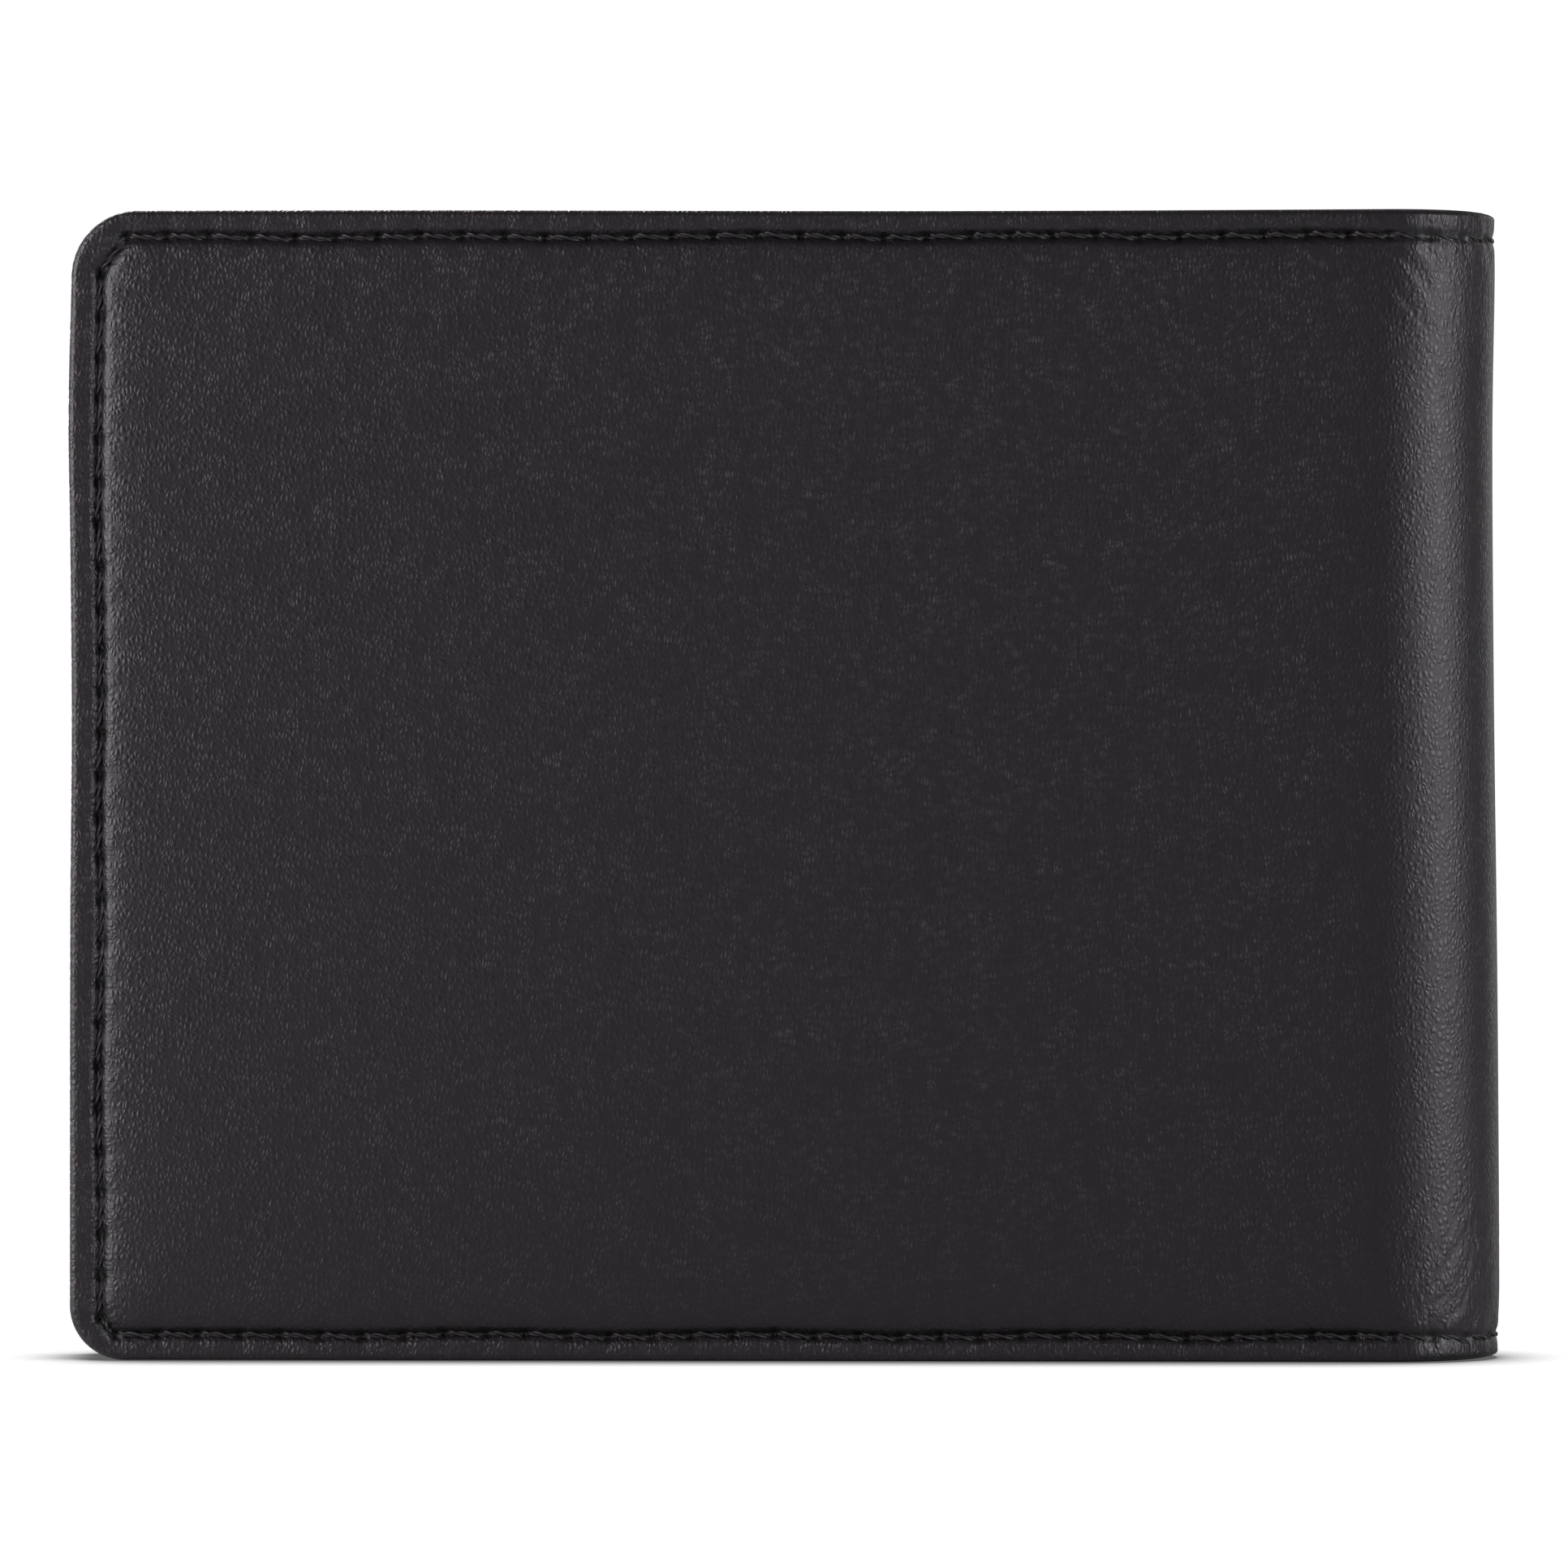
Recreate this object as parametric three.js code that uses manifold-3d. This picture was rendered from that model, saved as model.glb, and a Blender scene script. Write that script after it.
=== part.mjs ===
// Bifold wallet in black leather, closed and standing on its long bottom edge.
//
// Millimetres, +Z up. The origin is on the floor, under the middle of the closed wallet. X runs from the
// free edges (-X) to the fold (+X), and Y from the front half (-Y) to the back half (+Y).
//
// A half is drawn flat, in a group of its own: x is the distance from the fold line towards the free
// edge (times the half's side), y is the depth under the outer leather, and z is the height.
// The fold is nine narrow strips. The middle one stays put. Each half swings about an upright axis near the
// fold, and carries the four strips on its side, which roll out flat until they meet the middle one.
import * as THREE from "three";
import { mergeVertices } from "three/addons/utils/BufferGeometryUtils.js";
import Module from "manifold-3d";

const wasm = await Module();
wasm.setup();

// Driving dimensions of the closed wallet.
const WIDTH = 112;
const HEIGHT = 90;
const FOLD_ACROSS = 16.5; // thickness at the fold
const FOLD_REACH = 9.25; // how far the fold bulges past the two fold lines
const LEAN = THREE.MathUtils.degToRad(1.5); // each half leans in towards the free edge
const STRIPS = 9;

// Cover leather: a sewn flange round a panel that padding pushes proud of it.
const TOP_CORNER_R = 5.2;
const LOW_CORNER_R = 4.3;
const FLANGE_DROP = 0.8;
const FLANGE_WIDTH = 2.5;
const CROWN_WIDTH = 2.5;
const COVER_T = 1.1;
const FLANGE_INNER = 2.2;
const BOARD_MARGIN = 4.8;
const FOLD_MARGIN = 3.3;
const TRAY_CLEARANCE = 0.3;

// Depths of the flat layers under the outer face, each [outer, inner].
const PADDING = [1.15, 1.75];
const BOARD = [1.8, 2.15];
const LINING = [2.27, 2.45];
const TURNED_EDGE = [2.52, 3.08];
const WALL = [3.15, 3.6];
const BACKING = [3.68, 3.8];
const REAR_POCKET = [3.86, 4.26];
const MIDDLE_POCKET = [4.32, 4.72];
const FRONT_POCKET = [4.78, 5.18];
const FILM = [4.34, 4.6];
const NEEDLE_THREAD = [0.45, 0.77];
const THREAD_T = 0.18;
const THREAD_CLEARANCE = 0.03;
const PITCH = 3.25; // one stitch

// Heights of the layers' top edges.
const WALL_TOP = 84;
const BACKING_TOP = 76;
const CARD_TOPS = [74, 62, 50];
const ID_POCKET_TOP = 76;
const ID_FRAME_TOP = 64;

// Insets from the cover's outline.
const LINING_INSET = 1.4;
const WALL_INSET = 0.6;
const POCKET_INSET = 0.8;
const BACKING_INSET = 0.9;
const TURNED_WIDTH = 2.4;
const WALL_TOP_R = 2;
const SEAM = [1.75, 2.45]; // the perimeter seam, as a band inside the outline
const HINGE_GAP = 0.15;
const HINGE_GAP_ANGLE = THREE.MathUtils.degToRad(1);
const POCKET_FOLD_EDGE = 1.5; // where the pockets end beside the fold
const POCKET_SEAM = [3.4, 4.1]; // the seam beside the fold, from the fold line
const SEAM_TURN = 2.15; // how far the inside thread cuts across the low corner

// ID window.
const WINDOW_WIDTH = 76;
const WINDOW_LOW = 10;
const WINDOW_HIGH = 54;
const WINDOW_R = 3;
const FILM_OVERLAP = 3;
const THUMB_R = 7;
const THUMB_RISE = 2; // the notch's centre, above the frame's top edge

const CORNER_SEGMENTS = 6;
const STRIP_SEGMENTS = 4;
const NOTCH_SEGMENTS = 24;

const leather = new THREE.MeshStandardMaterial({ color: 0x232124, roughness: 0.5, metalness: 0 });
const innerLeather = new THREE.MeshStandardMaterial({ color: 0x262427, roughness: 0.55, metalness: 0 });
const fabric = new THREE.MeshStandardMaterial({ color: 0x1d1c1f, roughness: 0.85, metalness: 0 });
const foam = new THREE.MeshStandardMaterial({ color: 0x4a4a4c, roughness: 0.95, metalness: 0 });
const board = new THREE.MeshStandardMaterial({ color: 0x6b5a47, roughness: 0.9, metalness: 0 });
const thread = new THREE.MeshStandardMaterial({ color: 0x0e0d0f, roughness: 0.6, metalness: 0 });
const clearFilm = new THREE.MeshStandardMaterial({
  color: 0xe8ecee,
  roughness: 0.15,
  metalness: 0,
  transparent: true,
  opacity: 0.3,
});

// The fold's plan is half an ellipse, run on a little past its ends to where it meets the leaning halves.
const foldB = FOLD_ACROSS / 2;
const foldCentreX = WIDTH / 2 - FOLD_REACH;
const FOLD_START = -(Math.PI / 2 + LEAN);
const STRIP_TURN = (-2 * FOLD_START) / STRIPS;

// The point of the fold whose outward normal has this angle, moved inwards by depth.
function foldPoint(angle, depth) {
  const c = Math.cos(angle);
  const s = Math.sin(angle);
  const w = Math.hypot(FOLD_REACH * c, foldB * s);
  return new THREE.Vector2(
    foldCentreX + (FOLD_REACH ** 2 * c) / w - depth * c,
    (foldB ** 2 * s) / w - depth * s,
  );
}

const foldLine = foldPoint(FOLD_START, 0);
const HALF_LENGTH = (foldLine.x + WIDTH / 2 + FLANGE_DROP * Math.sin(LEAN)) / Math.cos(LEAN);

// A closed solid from rings of points, each ring with the same count, capped at both ends.
function loft(givenRings, flatten) {
  const clockwise = THREE.ShapeUtils.isClockWise(givenRings[0].map(flatten));
  const rings = clockwise ? givenRings.map((ring) => [...ring].reverse()) : givenRings;
  const count = rings[0].length;
  const positions = rings.flat().flatMap((p) => [p.x, p.y, p.z]);
  const cap = THREE.ShapeUtils.triangulateShape(rings[0].map(flatten), []);
  const last = (rings.length - 1) * count;
  const indices = cap.flatMap(([a, b, c]) => [a, b, c, last + a, last + c, last + b]);
  for (let ring = 0; ring < rings.length - 1; ring += 1) {
    for (let i = 0; i < count; i += 1) {
      const a = ring * count + i;
      const b = ring * count + ((i + 1) % count);
      indices.push(a, a + count, b, b, a + count, b + count);
    }
  }
  const geometry = new THREE.BufferGeometry();
  geometry.setAttribute("position", new THREE.Float32BufferAttribute(positions, 3));
  geometry.setIndex(indices);
  return faceOut(geometry);
}

// Turns a closed mesh's faces round if they point inwards.
function faceOut(geometry) {
  const p = geometry.attributes.position;
  const index = geometry.index.array;
  const [a, b, c] = [new THREE.Vector3(), new THREE.Vector3(), new THREE.Vector3()];
  let volume = 0;
  for (let i = 0; i < index.length; i += 3) {
    a.fromBufferAttribute(p, index[i]);
    b.fromBufferAttribute(p, index[i + 1]);
    c.fromBufferAttribute(p, index[i + 2]);
    volume += a.dot(b.cross(c));
  }
  if (volume < 0) {
    for (let i = 0; i < index.length; i += 3) {
      [index[i + 1], index[i + 2]] = [index[i + 2], index[i + 1]];
    }
  }
  return geometry;
}

function solidOf(geometry) {
  const bare = geometry.clone();
  bare.deleteAttribute("normal");
  bare.deleteAttribute("uv");
  const merged = mergeVertices(bare, 1e-4);
  return new wasm.Manifold(
    new wasm.Mesh({
      numProp: 3,
      vertProperties: merged.attributes.position.array,
      triVerts: new Uint32Array(merged.index.array),
    }),
  );
}

function geometryOf(solid) {
  const mesh = solid.getMesh();
  const geometry = new THREE.BufferGeometry();
  geometry.setAttribute("position", new THREE.BufferAttribute(mesh.vertProperties, 3));
  geometry.setIndex(new THREE.BufferAttribute(mesh.triVerts, 1));
  return geometry;
}

const joined = (parts) => geometryOf(parts.map(solidOf).reduce((all, part) => all.add(part)));
const cut = (part, tool) => geometryOf(solidOf(part).subtract(solidOf(tool)));

// Points of a panel's outline, anticlockwise from the fold side's low corner. Its far corners may be round.
function outline({ from, to, low, high, lowR = 0, topR = 0 }) {
  const corner = (z, r, start) => {
    const steps = r > 0 ? CORNER_SEGMENTS : 0;
    return Array.from({ length: steps + 1 }, (_, i) => {
      const angle = start + (i / Math.max(steps, 1)) * (Math.PI / 2);
      return [to - r + r * Math.cos(angle), z + r * Math.sin(angle)];
    });
  };
  const lowCorner = lowR > 0 ? corner(low + lowR, lowR, -Math.PI / 2) : [[to, low]];
  const topCorner = topR > 0 ? corner(high - topR, topR, 0) : [[to, high]];
  return [[from, low], ...lowCorner, ...topCorner, [from, high]];
}

// The cover's own outline, moved inwards on its three sewn sides.
const coverOutline = (inset, from = HINGE_GAP) =>
  outline({
    from,
    to: HALF_LENGTH - inset,
    low: inset,
    high: HEIGHT - inset,
    lowR: LOW_CORNER_R - inset / 2,
    topR: TOP_CORNER_R - inset / 2,
  });

// A flat plate: an outline swept from one depth to another.
function plate(side, points, [outer, inner], holes = []) {
  const path = (list) => list.map(([s, z]) => new THREE.Vector2(side * s, z));
  const shape = new THREE.Shape(path(points));
  shape.holes = holes.map((hole) => new THREE.Path(path(hole)));
  const geometry = new THREE.ExtrudeGeometry(shape, { depth: inner - outer, bevelEnabled: false });
  return geometry.rotateX(Math.PI / 2).translate(0, inner, 0);
}

const block = (side, from, to, low, high, depths) => plate(side, outline({ from, to, low, high }), depths);

// The leather's climb from the flange to the panel: [inset, share of the flange's drop].
const CROWN = [0, 0.25, 0.6, 1].map((t) => [FLANGE_WIDTH + CROWN_WIDTH * t, (1 - t) ** 2]);

// A rectangle inside the panel, for the padding and board (grow 0) or the tray that holds them.
const trayPlate = (side, depths, grow = 0) =>
  block(
    side,
    FOLD_MARGIN - grow,
    HALF_LENGTH - BOARD_MARGIN + grow,
    BOARD_MARGIN - grow,
    HEIGHT - BOARD_MARGIN + grow,
    depths,
  );

// One half's outer leather: a flange, a crowned panel, and a shallow tray behind the panel.
function coverGeometry(side) {
  const crown = CROWN.map(([inset, share]) => [inset, FLANGE_DROP * share]);
  const levels = [[0, FLANGE_INNER], [0, FLANGE_DROP], ...crown];
  const rings = levels.map(([inset, depth]) =>
    coverOutline(inset).map(([s, z]) => new THREE.Vector3(side * s, depth, z)),
  );
  const body = loft(rings, (p) => new THREE.Vector2(p.x, p.z));
  return cut(body, trayPlate(side, [COVER_T, FLANGE_INNER + TRAY_CLEARANCE], TRAY_CLEARANCE));
}

const liningGeometry = (side) => plate(side, coverOutline(LINING_INSET), LINING);

const wallGeometry = (side) =>
  plate(
    side,
    outline({
      from: HINGE_GAP,
      to: HALF_LENGTH - WALL_INSET,
      low: WALL_INSET,
      high: WALL_TOP,
      lowR: LOW_CORNER_R - WALL_INSET,
      topR: WALL_TOP_R,
    }),
    WALL,
  );

// The cover's edge turned in over the lining. It closes the bill compartment's bottom and free edge.
const turnedBottomGeometry = (side) =>
  block(side, HINGE_GAP, HALF_LENGTH - LOW_CORNER_R, WALL_INSET, WALL_INSET + TURNED_WIDTH, TURNED_EDGE);
const turnedSideGeometry = (side) =>
  block(
    side,
    HALF_LENGTH - WALL_INSET - TURNED_WIDTH,
    HALF_LENGTH - WALL_INSET,
    LOW_CORNER_R,
    WALL_TOP - WALL_TOP_R,
    TURNED_EDGE,
  );

const pocketOutline = (top, inset = POCKET_INSET) =>
  outline({
    from: POCKET_FOLD_EDGE,
    to: HALF_LENGTH - inset,
    low: inset,
    high: top,
    lowR: LOW_CORNER_R - inset,
  });
const pocketGeometry = (side, top, depths) => plate(side, pocketOutline(top), depths);
const backingGeometry = (side) => plate(side, pocketOutline(BACKING_TOP, BACKING_INSET), BACKING);

const windowMiddle = (POCKET_FOLD_EDGE + HALF_LENGTH - POCKET_INSET) / 2;

function roundedWindow() {
  const half = WINDOW_WIDTH / 2;
  const corners = [
    [half, WINDOW_LOW, -1],
    [half, WINDOW_HIGH, 0],
    [-half, WINDOW_HIGH, 1],
    [-half, WINDOW_LOW, 2],
  ];
  return corners.flatMap(([across, z, quarter]) =>
    Array.from({ length: CORNER_SEGMENTS + 1 }, (_, i) => {
      const angle = (quarter + i / CORNER_SEGMENTS) * (Math.PI / 2);
      const towards = [Math.sign(across), z === WINDOW_LOW ? -1 : 1];
      return [
        windowMiddle + across - towards[0] * WINDOW_R + WINDOW_R * Math.cos(angle),
        z - towards[1] * WINDOW_R + WINDOW_R * Math.sin(angle),
      ];
    }),
  );
}

// The ID pocket's face: a leather panel with a window, and a thumb notch in its top edge.
function idFrameGeometry(side) {
  const panel = plate(side, pocketOutline(ID_FRAME_TOP), FRONT_POCKET, [roundedWindow()]);
  const notch = Array.from({ length: NOTCH_SEGMENTS }, (_, i) => {
    const angle = (i / NOTCH_SEGMENTS) * Math.PI * 2;
    return [
      windowMiddle + THUMB_R * Math.cos(angle),
      ID_FRAME_TOP + THUMB_RISE + THUMB_R * Math.sin(angle),
    ];
  });
  return cut(panel, plate(side, notch, [FRONT_POCKET[0] - THREAD_T, FRONT_POCKET[1] + THREAD_T]));
}

const idFilmGeometry = (side) => {
  const reach = WINDOW_WIDTH / 2 + FILM_OVERLAP;
  return block(
    side,
    windowMiddle - reach,
    windowMiddle + reach,
    WINDOW_LOW - FILM_OVERLAP,
    WINDOW_HIGH + FILM_OVERLAP,
    FILM,
  );
};

// The thread seen outside: a band that follows the seam round the three sewn sides.
function needleThreadGeometry(side) {
  const outer = coverOutline(SEAM[0]);
  const inner = coverOutline(SEAM[1]).reverse();
  return plate(side, [...outer, ...inner], NEEDLE_THREAD);
}

// A thread that climbs straight up and steps down from each layer's top edge to the layer behind it.
// steps lists [height where the run ends, depth of the face it lies on], from the lowest run up.
function steppedThread(side, from, to, low, steps) {
  const runs = [];
  let start = low;
  let proud = steps[0][1] + THREAD_CLEARANCE;
  for (const [end, face] of steps) {
    const lies = face + THREAD_CLEARANCE;
    const next = end + THREAD_CLEARANCE * 2;
    runs.push(block(side, from, to, start, end, [lies, lies + THREAD_T]));
    runs.push(block(side, from, to, start, start + THREAD_T, [lies, proud + THREAD_T]));
    runs.push(block(side, from, to, end - THREAD_T, next + THREAD_T, [lies, lies + THREAD_T]));
    start = next;
    proud = lies;
  }
  return runs;
}

// The thread seen inside: along the bottom, round the low corner and up the free edge.
function bobbinThreadGeometry(side, steps) {
  const [outer, inner] = SEAM.map((inset) => HALF_LENGTH - inset);
  const turn = SEAM[0] + SEAM_TURN;
  const face = steps[0][1] + THREAD_CLEARANCE;
  const lies = [face, face + THREAD_T];
  const corner = [
    [outer - turn + SEAM[0], SEAM[0]],
    [outer, turn],
    [outer, turn + THREAD_T],
    [inner, turn + THREAD_T],
    [outer - turn + SEAM[0], SEAM[1]],
  ];
  return joined([
    block(side, POCKET_SEAM[1] + PITCH, outer - turn + SEAM[0] + THREAD_T, SEAM[0], SEAM[1], lies),
    plate(side, corner, lies),
    ...steppedThread(side, inner, outer, turn, steps),
  ]);
}

// The seam that binds the pockets together beside the fold.
const pocketThreadGeometry = (side, steps) =>
  joined(steppedThread(side, POCKET_SEAM[0], POCKET_SEAM[1], SEAM[1] + THREAD_T, steps));

// A band of the fold between two angles, from one depth to another, as a ring of points at a height.
function foldRing(k, outer, inner, z) {
  const start = FOLD_START + k * STRIP_TURN + HINGE_GAP_ANGLE;
  const span = STRIP_TURN - 2 * HINGE_GAP_ANGLE;
  const angles = Array.from({ length: STRIP_SEGMENTS + 1 }, (_, i) => start + (i / STRIP_SEGMENTS) * span);
  const arc = (depth) => angles.map((angle) => foldPoint(angle, depth));
  return [...arc(outer), ...arc(inner).reverse()].map((p) => new THREE.Vector3(p.x, p.y, z));
}

function foldBand(k, low, high, [outer, inner]) {
  const rings = [low, high].map((z) => foldRing(k, outer, inner, z));
  return loft(rings, (p) => new THREE.Vector2(p.x, p.y));
}

// A strip of the fold's outer leather, with the flange and crown of the covers at its two ends.
function foldLeatherGeometry(k) {
  const low = [[0, 1], ...CROWN];
  const high = low.map(([z, share]) => [HEIGHT - z, share]).reverse();
  const rings = [...low, ...high].map(([z, share]) =>
    foldRing(k, FLANGE_DROP * share, COVER_T + (FLANGE_INNER - COVER_T) * share, z),
  );
  return loft(rings, (p) => new THREE.Vector2(p.x, p.y));
}

function named(name, geometry, material) {
  const mesh = new THREE.Mesh(geometry, material);
  mesh.name = name;
  return mesh;
}

// What both halves have. cardSteps are the inner faces that the inside threads climb over.
function halfLayers(name, side, cardSteps) {
  return [
    named(`${name}_cover`, coverGeometry(side), leather),
    named(`${name}_cover_padding`, trayPlate(side, PADDING), foam),
    named(`${name}_cover_board`, trayPlate(side, BOARD), board),
    named(`${name}_bill_lining`, liningGeometry(side), fabric),
    named(`${name}_turned_edge_bottom`, turnedBottomGeometry(side), leather),
    named(`${name}_turned_edge_side`, turnedSideGeometry(side), leather),
    named(`${name}_bill_wall`, wallGeometry(side), innerLeather),
    named(`${name}_pocket_backing`, backingGeometry(side), fabric),
    named(`${name}_needle_thread`, needleThreadGeometry(side), thread),
    named(`${name}_bobbin_thread`, bobbinThreadGeometry(side, cardSteps), thread),
    named(`${name}_pocket_thread`, pocketThreadGeometry(side, cardSteps), thread),
  ];
}

// Front half: three stepped card pockets.
const frontHalf = new THREE.Group();
frontHalf.position.set(foldLine.x, foldLine.y, 0);
frontHalf.rotation.z = -LEAN;
const cardDepths = [REAR_POCKET, MIDDLE_POCKET, FRONT_POCKET];
const cardNames = ["upper", "middle", "lower"];
const frontSteps = CARD_TOPS.map((top, i) => [top, cardDepths[i][1]]).reverse();
frontHalf.add(
  ...halfLayers("front", -1, frontSteps),
  ...CARD_TOPS.map((top, i) =>
    named(`front_card_pocket_${cardNames[i]}`, pocketGeometry(-1, top, cardDepths[i]), innerLeather),
  ),
);

// Back half: one card pocket, and in front of it the ID pocket with its clear window.
const backHalf = new THREE.Group();
backHalf.position.set(foldLine.x, -foldLine.y, 0);
backHalf.rotation.z = Math.PI + LEAN;
const backSteps = [
  [ID_FRAME_TOP, FRONT_POCKET[1]],
  [ID_POCKET_TOP, REAR_POCKET[1]],
];
backHalf.add(
  ...halfLayers("back", 1, backSteps),
  named("back_card_pocket", pocketGeometry(1, ID_POCKET_TOP, REAR_POCKET), innerLeather),
  named("id_window_frame", idFrameGeometry(1), innerLeather),
  named("id_window_film", idFilmGeometry(1), clearFilm),
);

const fold = new THREE.Group();
for (let k = 0; k < STRIPS; k += 1) {
  const number = k + 1;
  fold.add(
    named(`fold_leather_${number}`, foldLeatherGeometry(k), leather),
    named(`fold_lining_${number}`, foldBand(k, LINING_INSET, HEIGHT - LINING_INSET, LINING), fabric),
    named(`fold_bill_wall_${number}`, foldBand(k, WALL_INSET, WALL_TOP, WALL), innerLeather),
  );
}

const wallet = new THREE.Group();
wallet.add(frontHalf, fold, backHalf);

export default wallet;
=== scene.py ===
"""Looks of a bifold wallet in black leather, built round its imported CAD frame.

Shapes are worked out in millimetres on a "shell": u is the length along the outer leather from the middle of
the fold (minus towards the front half, plus towards the back half), depth is how far a point lies under that
leather, and z is its height. shell() turns them into metres in the row frame.
"""

import math

import bmesh
import bpy
import numpy as np
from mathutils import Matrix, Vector


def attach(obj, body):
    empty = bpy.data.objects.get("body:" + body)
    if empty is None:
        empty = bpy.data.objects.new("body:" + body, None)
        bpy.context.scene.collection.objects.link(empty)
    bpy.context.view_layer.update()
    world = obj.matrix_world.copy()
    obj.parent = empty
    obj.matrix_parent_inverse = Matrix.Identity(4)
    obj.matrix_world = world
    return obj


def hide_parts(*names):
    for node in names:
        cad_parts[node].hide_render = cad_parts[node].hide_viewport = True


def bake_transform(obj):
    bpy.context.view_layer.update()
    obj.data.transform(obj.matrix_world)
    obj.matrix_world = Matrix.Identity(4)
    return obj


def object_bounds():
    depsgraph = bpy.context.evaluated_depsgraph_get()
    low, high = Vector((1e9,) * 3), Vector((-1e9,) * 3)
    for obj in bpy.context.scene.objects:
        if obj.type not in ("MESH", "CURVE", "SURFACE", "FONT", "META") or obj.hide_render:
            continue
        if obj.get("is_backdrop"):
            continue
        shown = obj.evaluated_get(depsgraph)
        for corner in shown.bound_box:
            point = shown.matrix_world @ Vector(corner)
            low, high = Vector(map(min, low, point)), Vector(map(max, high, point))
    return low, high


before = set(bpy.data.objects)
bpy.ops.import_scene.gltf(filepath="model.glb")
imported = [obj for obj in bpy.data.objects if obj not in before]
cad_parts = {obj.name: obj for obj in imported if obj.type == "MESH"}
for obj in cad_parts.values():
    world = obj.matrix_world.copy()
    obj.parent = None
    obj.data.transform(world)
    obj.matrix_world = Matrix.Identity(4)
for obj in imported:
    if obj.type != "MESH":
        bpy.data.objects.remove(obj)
cad_low, cad_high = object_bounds()

MM = 0.001

# ---------------------------------------------------------------- the wallet's own sizes, in millimetres
WIDTH = (cad_high.x - cad_low.x) / MM
HEIGHT = (cad_high.z - cad_low.z) / MM
HALF_ACROSS = (cad_high.y - cad_low.y) / MM / 2
FOLD_REACH = 9.25
FLANGE_DROP = 0.8
LEAN = math.radians(1.5)
FOLD_CENTRE = WIDTH / 2 - FOLD_REACH
FOLD_END = math.pi / 2 + LEAN
STRIP_TURN = 2 * FOLD_END / 9

TOP_CORNER_R = 5.2
LOW_CORNER_R = 4.3
BORDER = 8.0

# Depths of the layers, each (outer, inner).
LINING = (2.27, 2.45)
WALL = (3.15, 3.6)
BACKING = (3.68, 3.8)
REAR_POCKET = (3.86, 4.26)
MIDDLE_POCKET = (4.32, 4.72)
FRONT_POCKET = (4.78, 5.18)
FILM = (4.34, 4.6)
PADDING = (1.15, 1.75)

WALL_TOP = 84
CARD_TOPS = {"upper": 74, "middle": 62, "lower": 50}
CARD_DEPTHS = {"upper": REAR_POCKET, "middle": MIDDLE_POCKET, "lower": FRONT_POCKET}
BACKING_TOP = 76
ID_POCKET_TOP = 76
ID_FRAME_TOP = 64
POCKET_FOLD_EDGE = 1.5
POCKET_INSET = 0.8
POCKET_SEAM = 3.75
BOARD_MARGIN = 4.8
FOLD_MARGIN = 3.3

WINDOW_WIDTH = 76
WINDOW_LOW = 10
WINDOW_HIGH = 54
WINDOW_R = 3
FILM_OVERLAP = 3
THUMB_R = 7
THUMB_RISE = 2

# Sewing.
PITCH = 3.25
TOP_SEAM = 2.1
SIDE_SEAM = 2.45
LOW_SEAM = 2.0
PLY_R = 0.13
PLY_OFFSET = 0.11
TURNS_PER_STITCH = 1.15
STITCH_SINK = 0.62  # how far a stitch's ends go into their holes
STITCH_GAP = 0.12
STITCH_SLANT = 0.17
STITCH_LIE = 0.06  # how far a stitch's middle stands off the face inside

# ---------------------------------------------------------------- the shell


def fold_point(angle, depth):
    """The fold's plan where its outward normal has this angle, moved inwards by depth."""
    c, s = np.cos(angle), np.sin(angle)
    w = np.hypot(FOLD_REACH * c, HALF_ACROSS * s)
    return FOLD_CENTRE + FOLD_REACH**2 * c / w - depth * c, HALF_ACROSS**2 * s / w - depth * s


ANGLES = np.linspace(0, FOLD_END, 2001)
_x, _y = fold_point(ANGLES, 0)
ARCS = np.concatenate([[0], np.cumsum(np.hypot(np.diff(_x), np.diff(_y)))])
ARC = ARCS[-1]
HALF_LENGTH = (_x[-1] + WIDTH / 2 + FLANGE_DROP * math.sin(LEAN)) / math.cos(LEAN)
REACH = ARC + HALF_LENGTH


def arc_at(turn):
    """The length from the middle of the fold to where the leather has turned this far."""
    return float(np.interp(turn, ANGLES, ARCS))


def shell(u, depth, z):
    """Points in metres, in the row frame."""
    u, depth, z = np.broadcast_arrays(np.asarray(u, float), np.asarray(depth, float), np.asarray(z, float))
    away = np.abs(u)
    x, y = fold_point(np.interp(away, ARCS, ANGLES), depth)
    past = np.maximum(away - ARC, 0)
    x = x - past * math.cos(LEAN)
    y = y - past * math.sin(LEAN)
    return np.stack([x, np.where(u < 0, -y, y), z], -1) * MM


def smoothstep(x, low, high):
    """0 below low, 1 above high, with an eased climb between them."""
    t = np.clip((x - low) / (high - low), 0, 1)
    return t * t * (3 - 2 * t)


def bell(x, width):
    """1 at x = 0, and near 0 past twice this width."""
    return np.exp(-((x / width) ** 2))


def soft_noise(x, y, size, seed):
    """Smooth noise from -1 to 1, with lumps about size across."""
    lattice = np.random.default_rng(seed).uniform(-1, 1, (256, 256))
    gx, gy = np.asarray(x, float) / size, np.asarray(y, float) / size
    ix, iy = np.floor(gx).astype(int), np.floor(gy).astype(int)
    fx, fy = gx - ix, gy - iy
    sx, sy = fx * fx * (3 - 2 * fx), fy * fy * (3 - 2 * fy)

    def at(i, j):
        return lattice[(ix + i) % 256, (iy + j) % 256]

    low = at(0, 0) * (1 - sx) + at(1, 0) * sx
    high = at(0, 1) * (1 - sx) + at(1, 1) * sx
    return low * (1 - sy) + high * sy


# ---------------------------------------------------------------- meshes

UV_NAME = "Flat"


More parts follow.
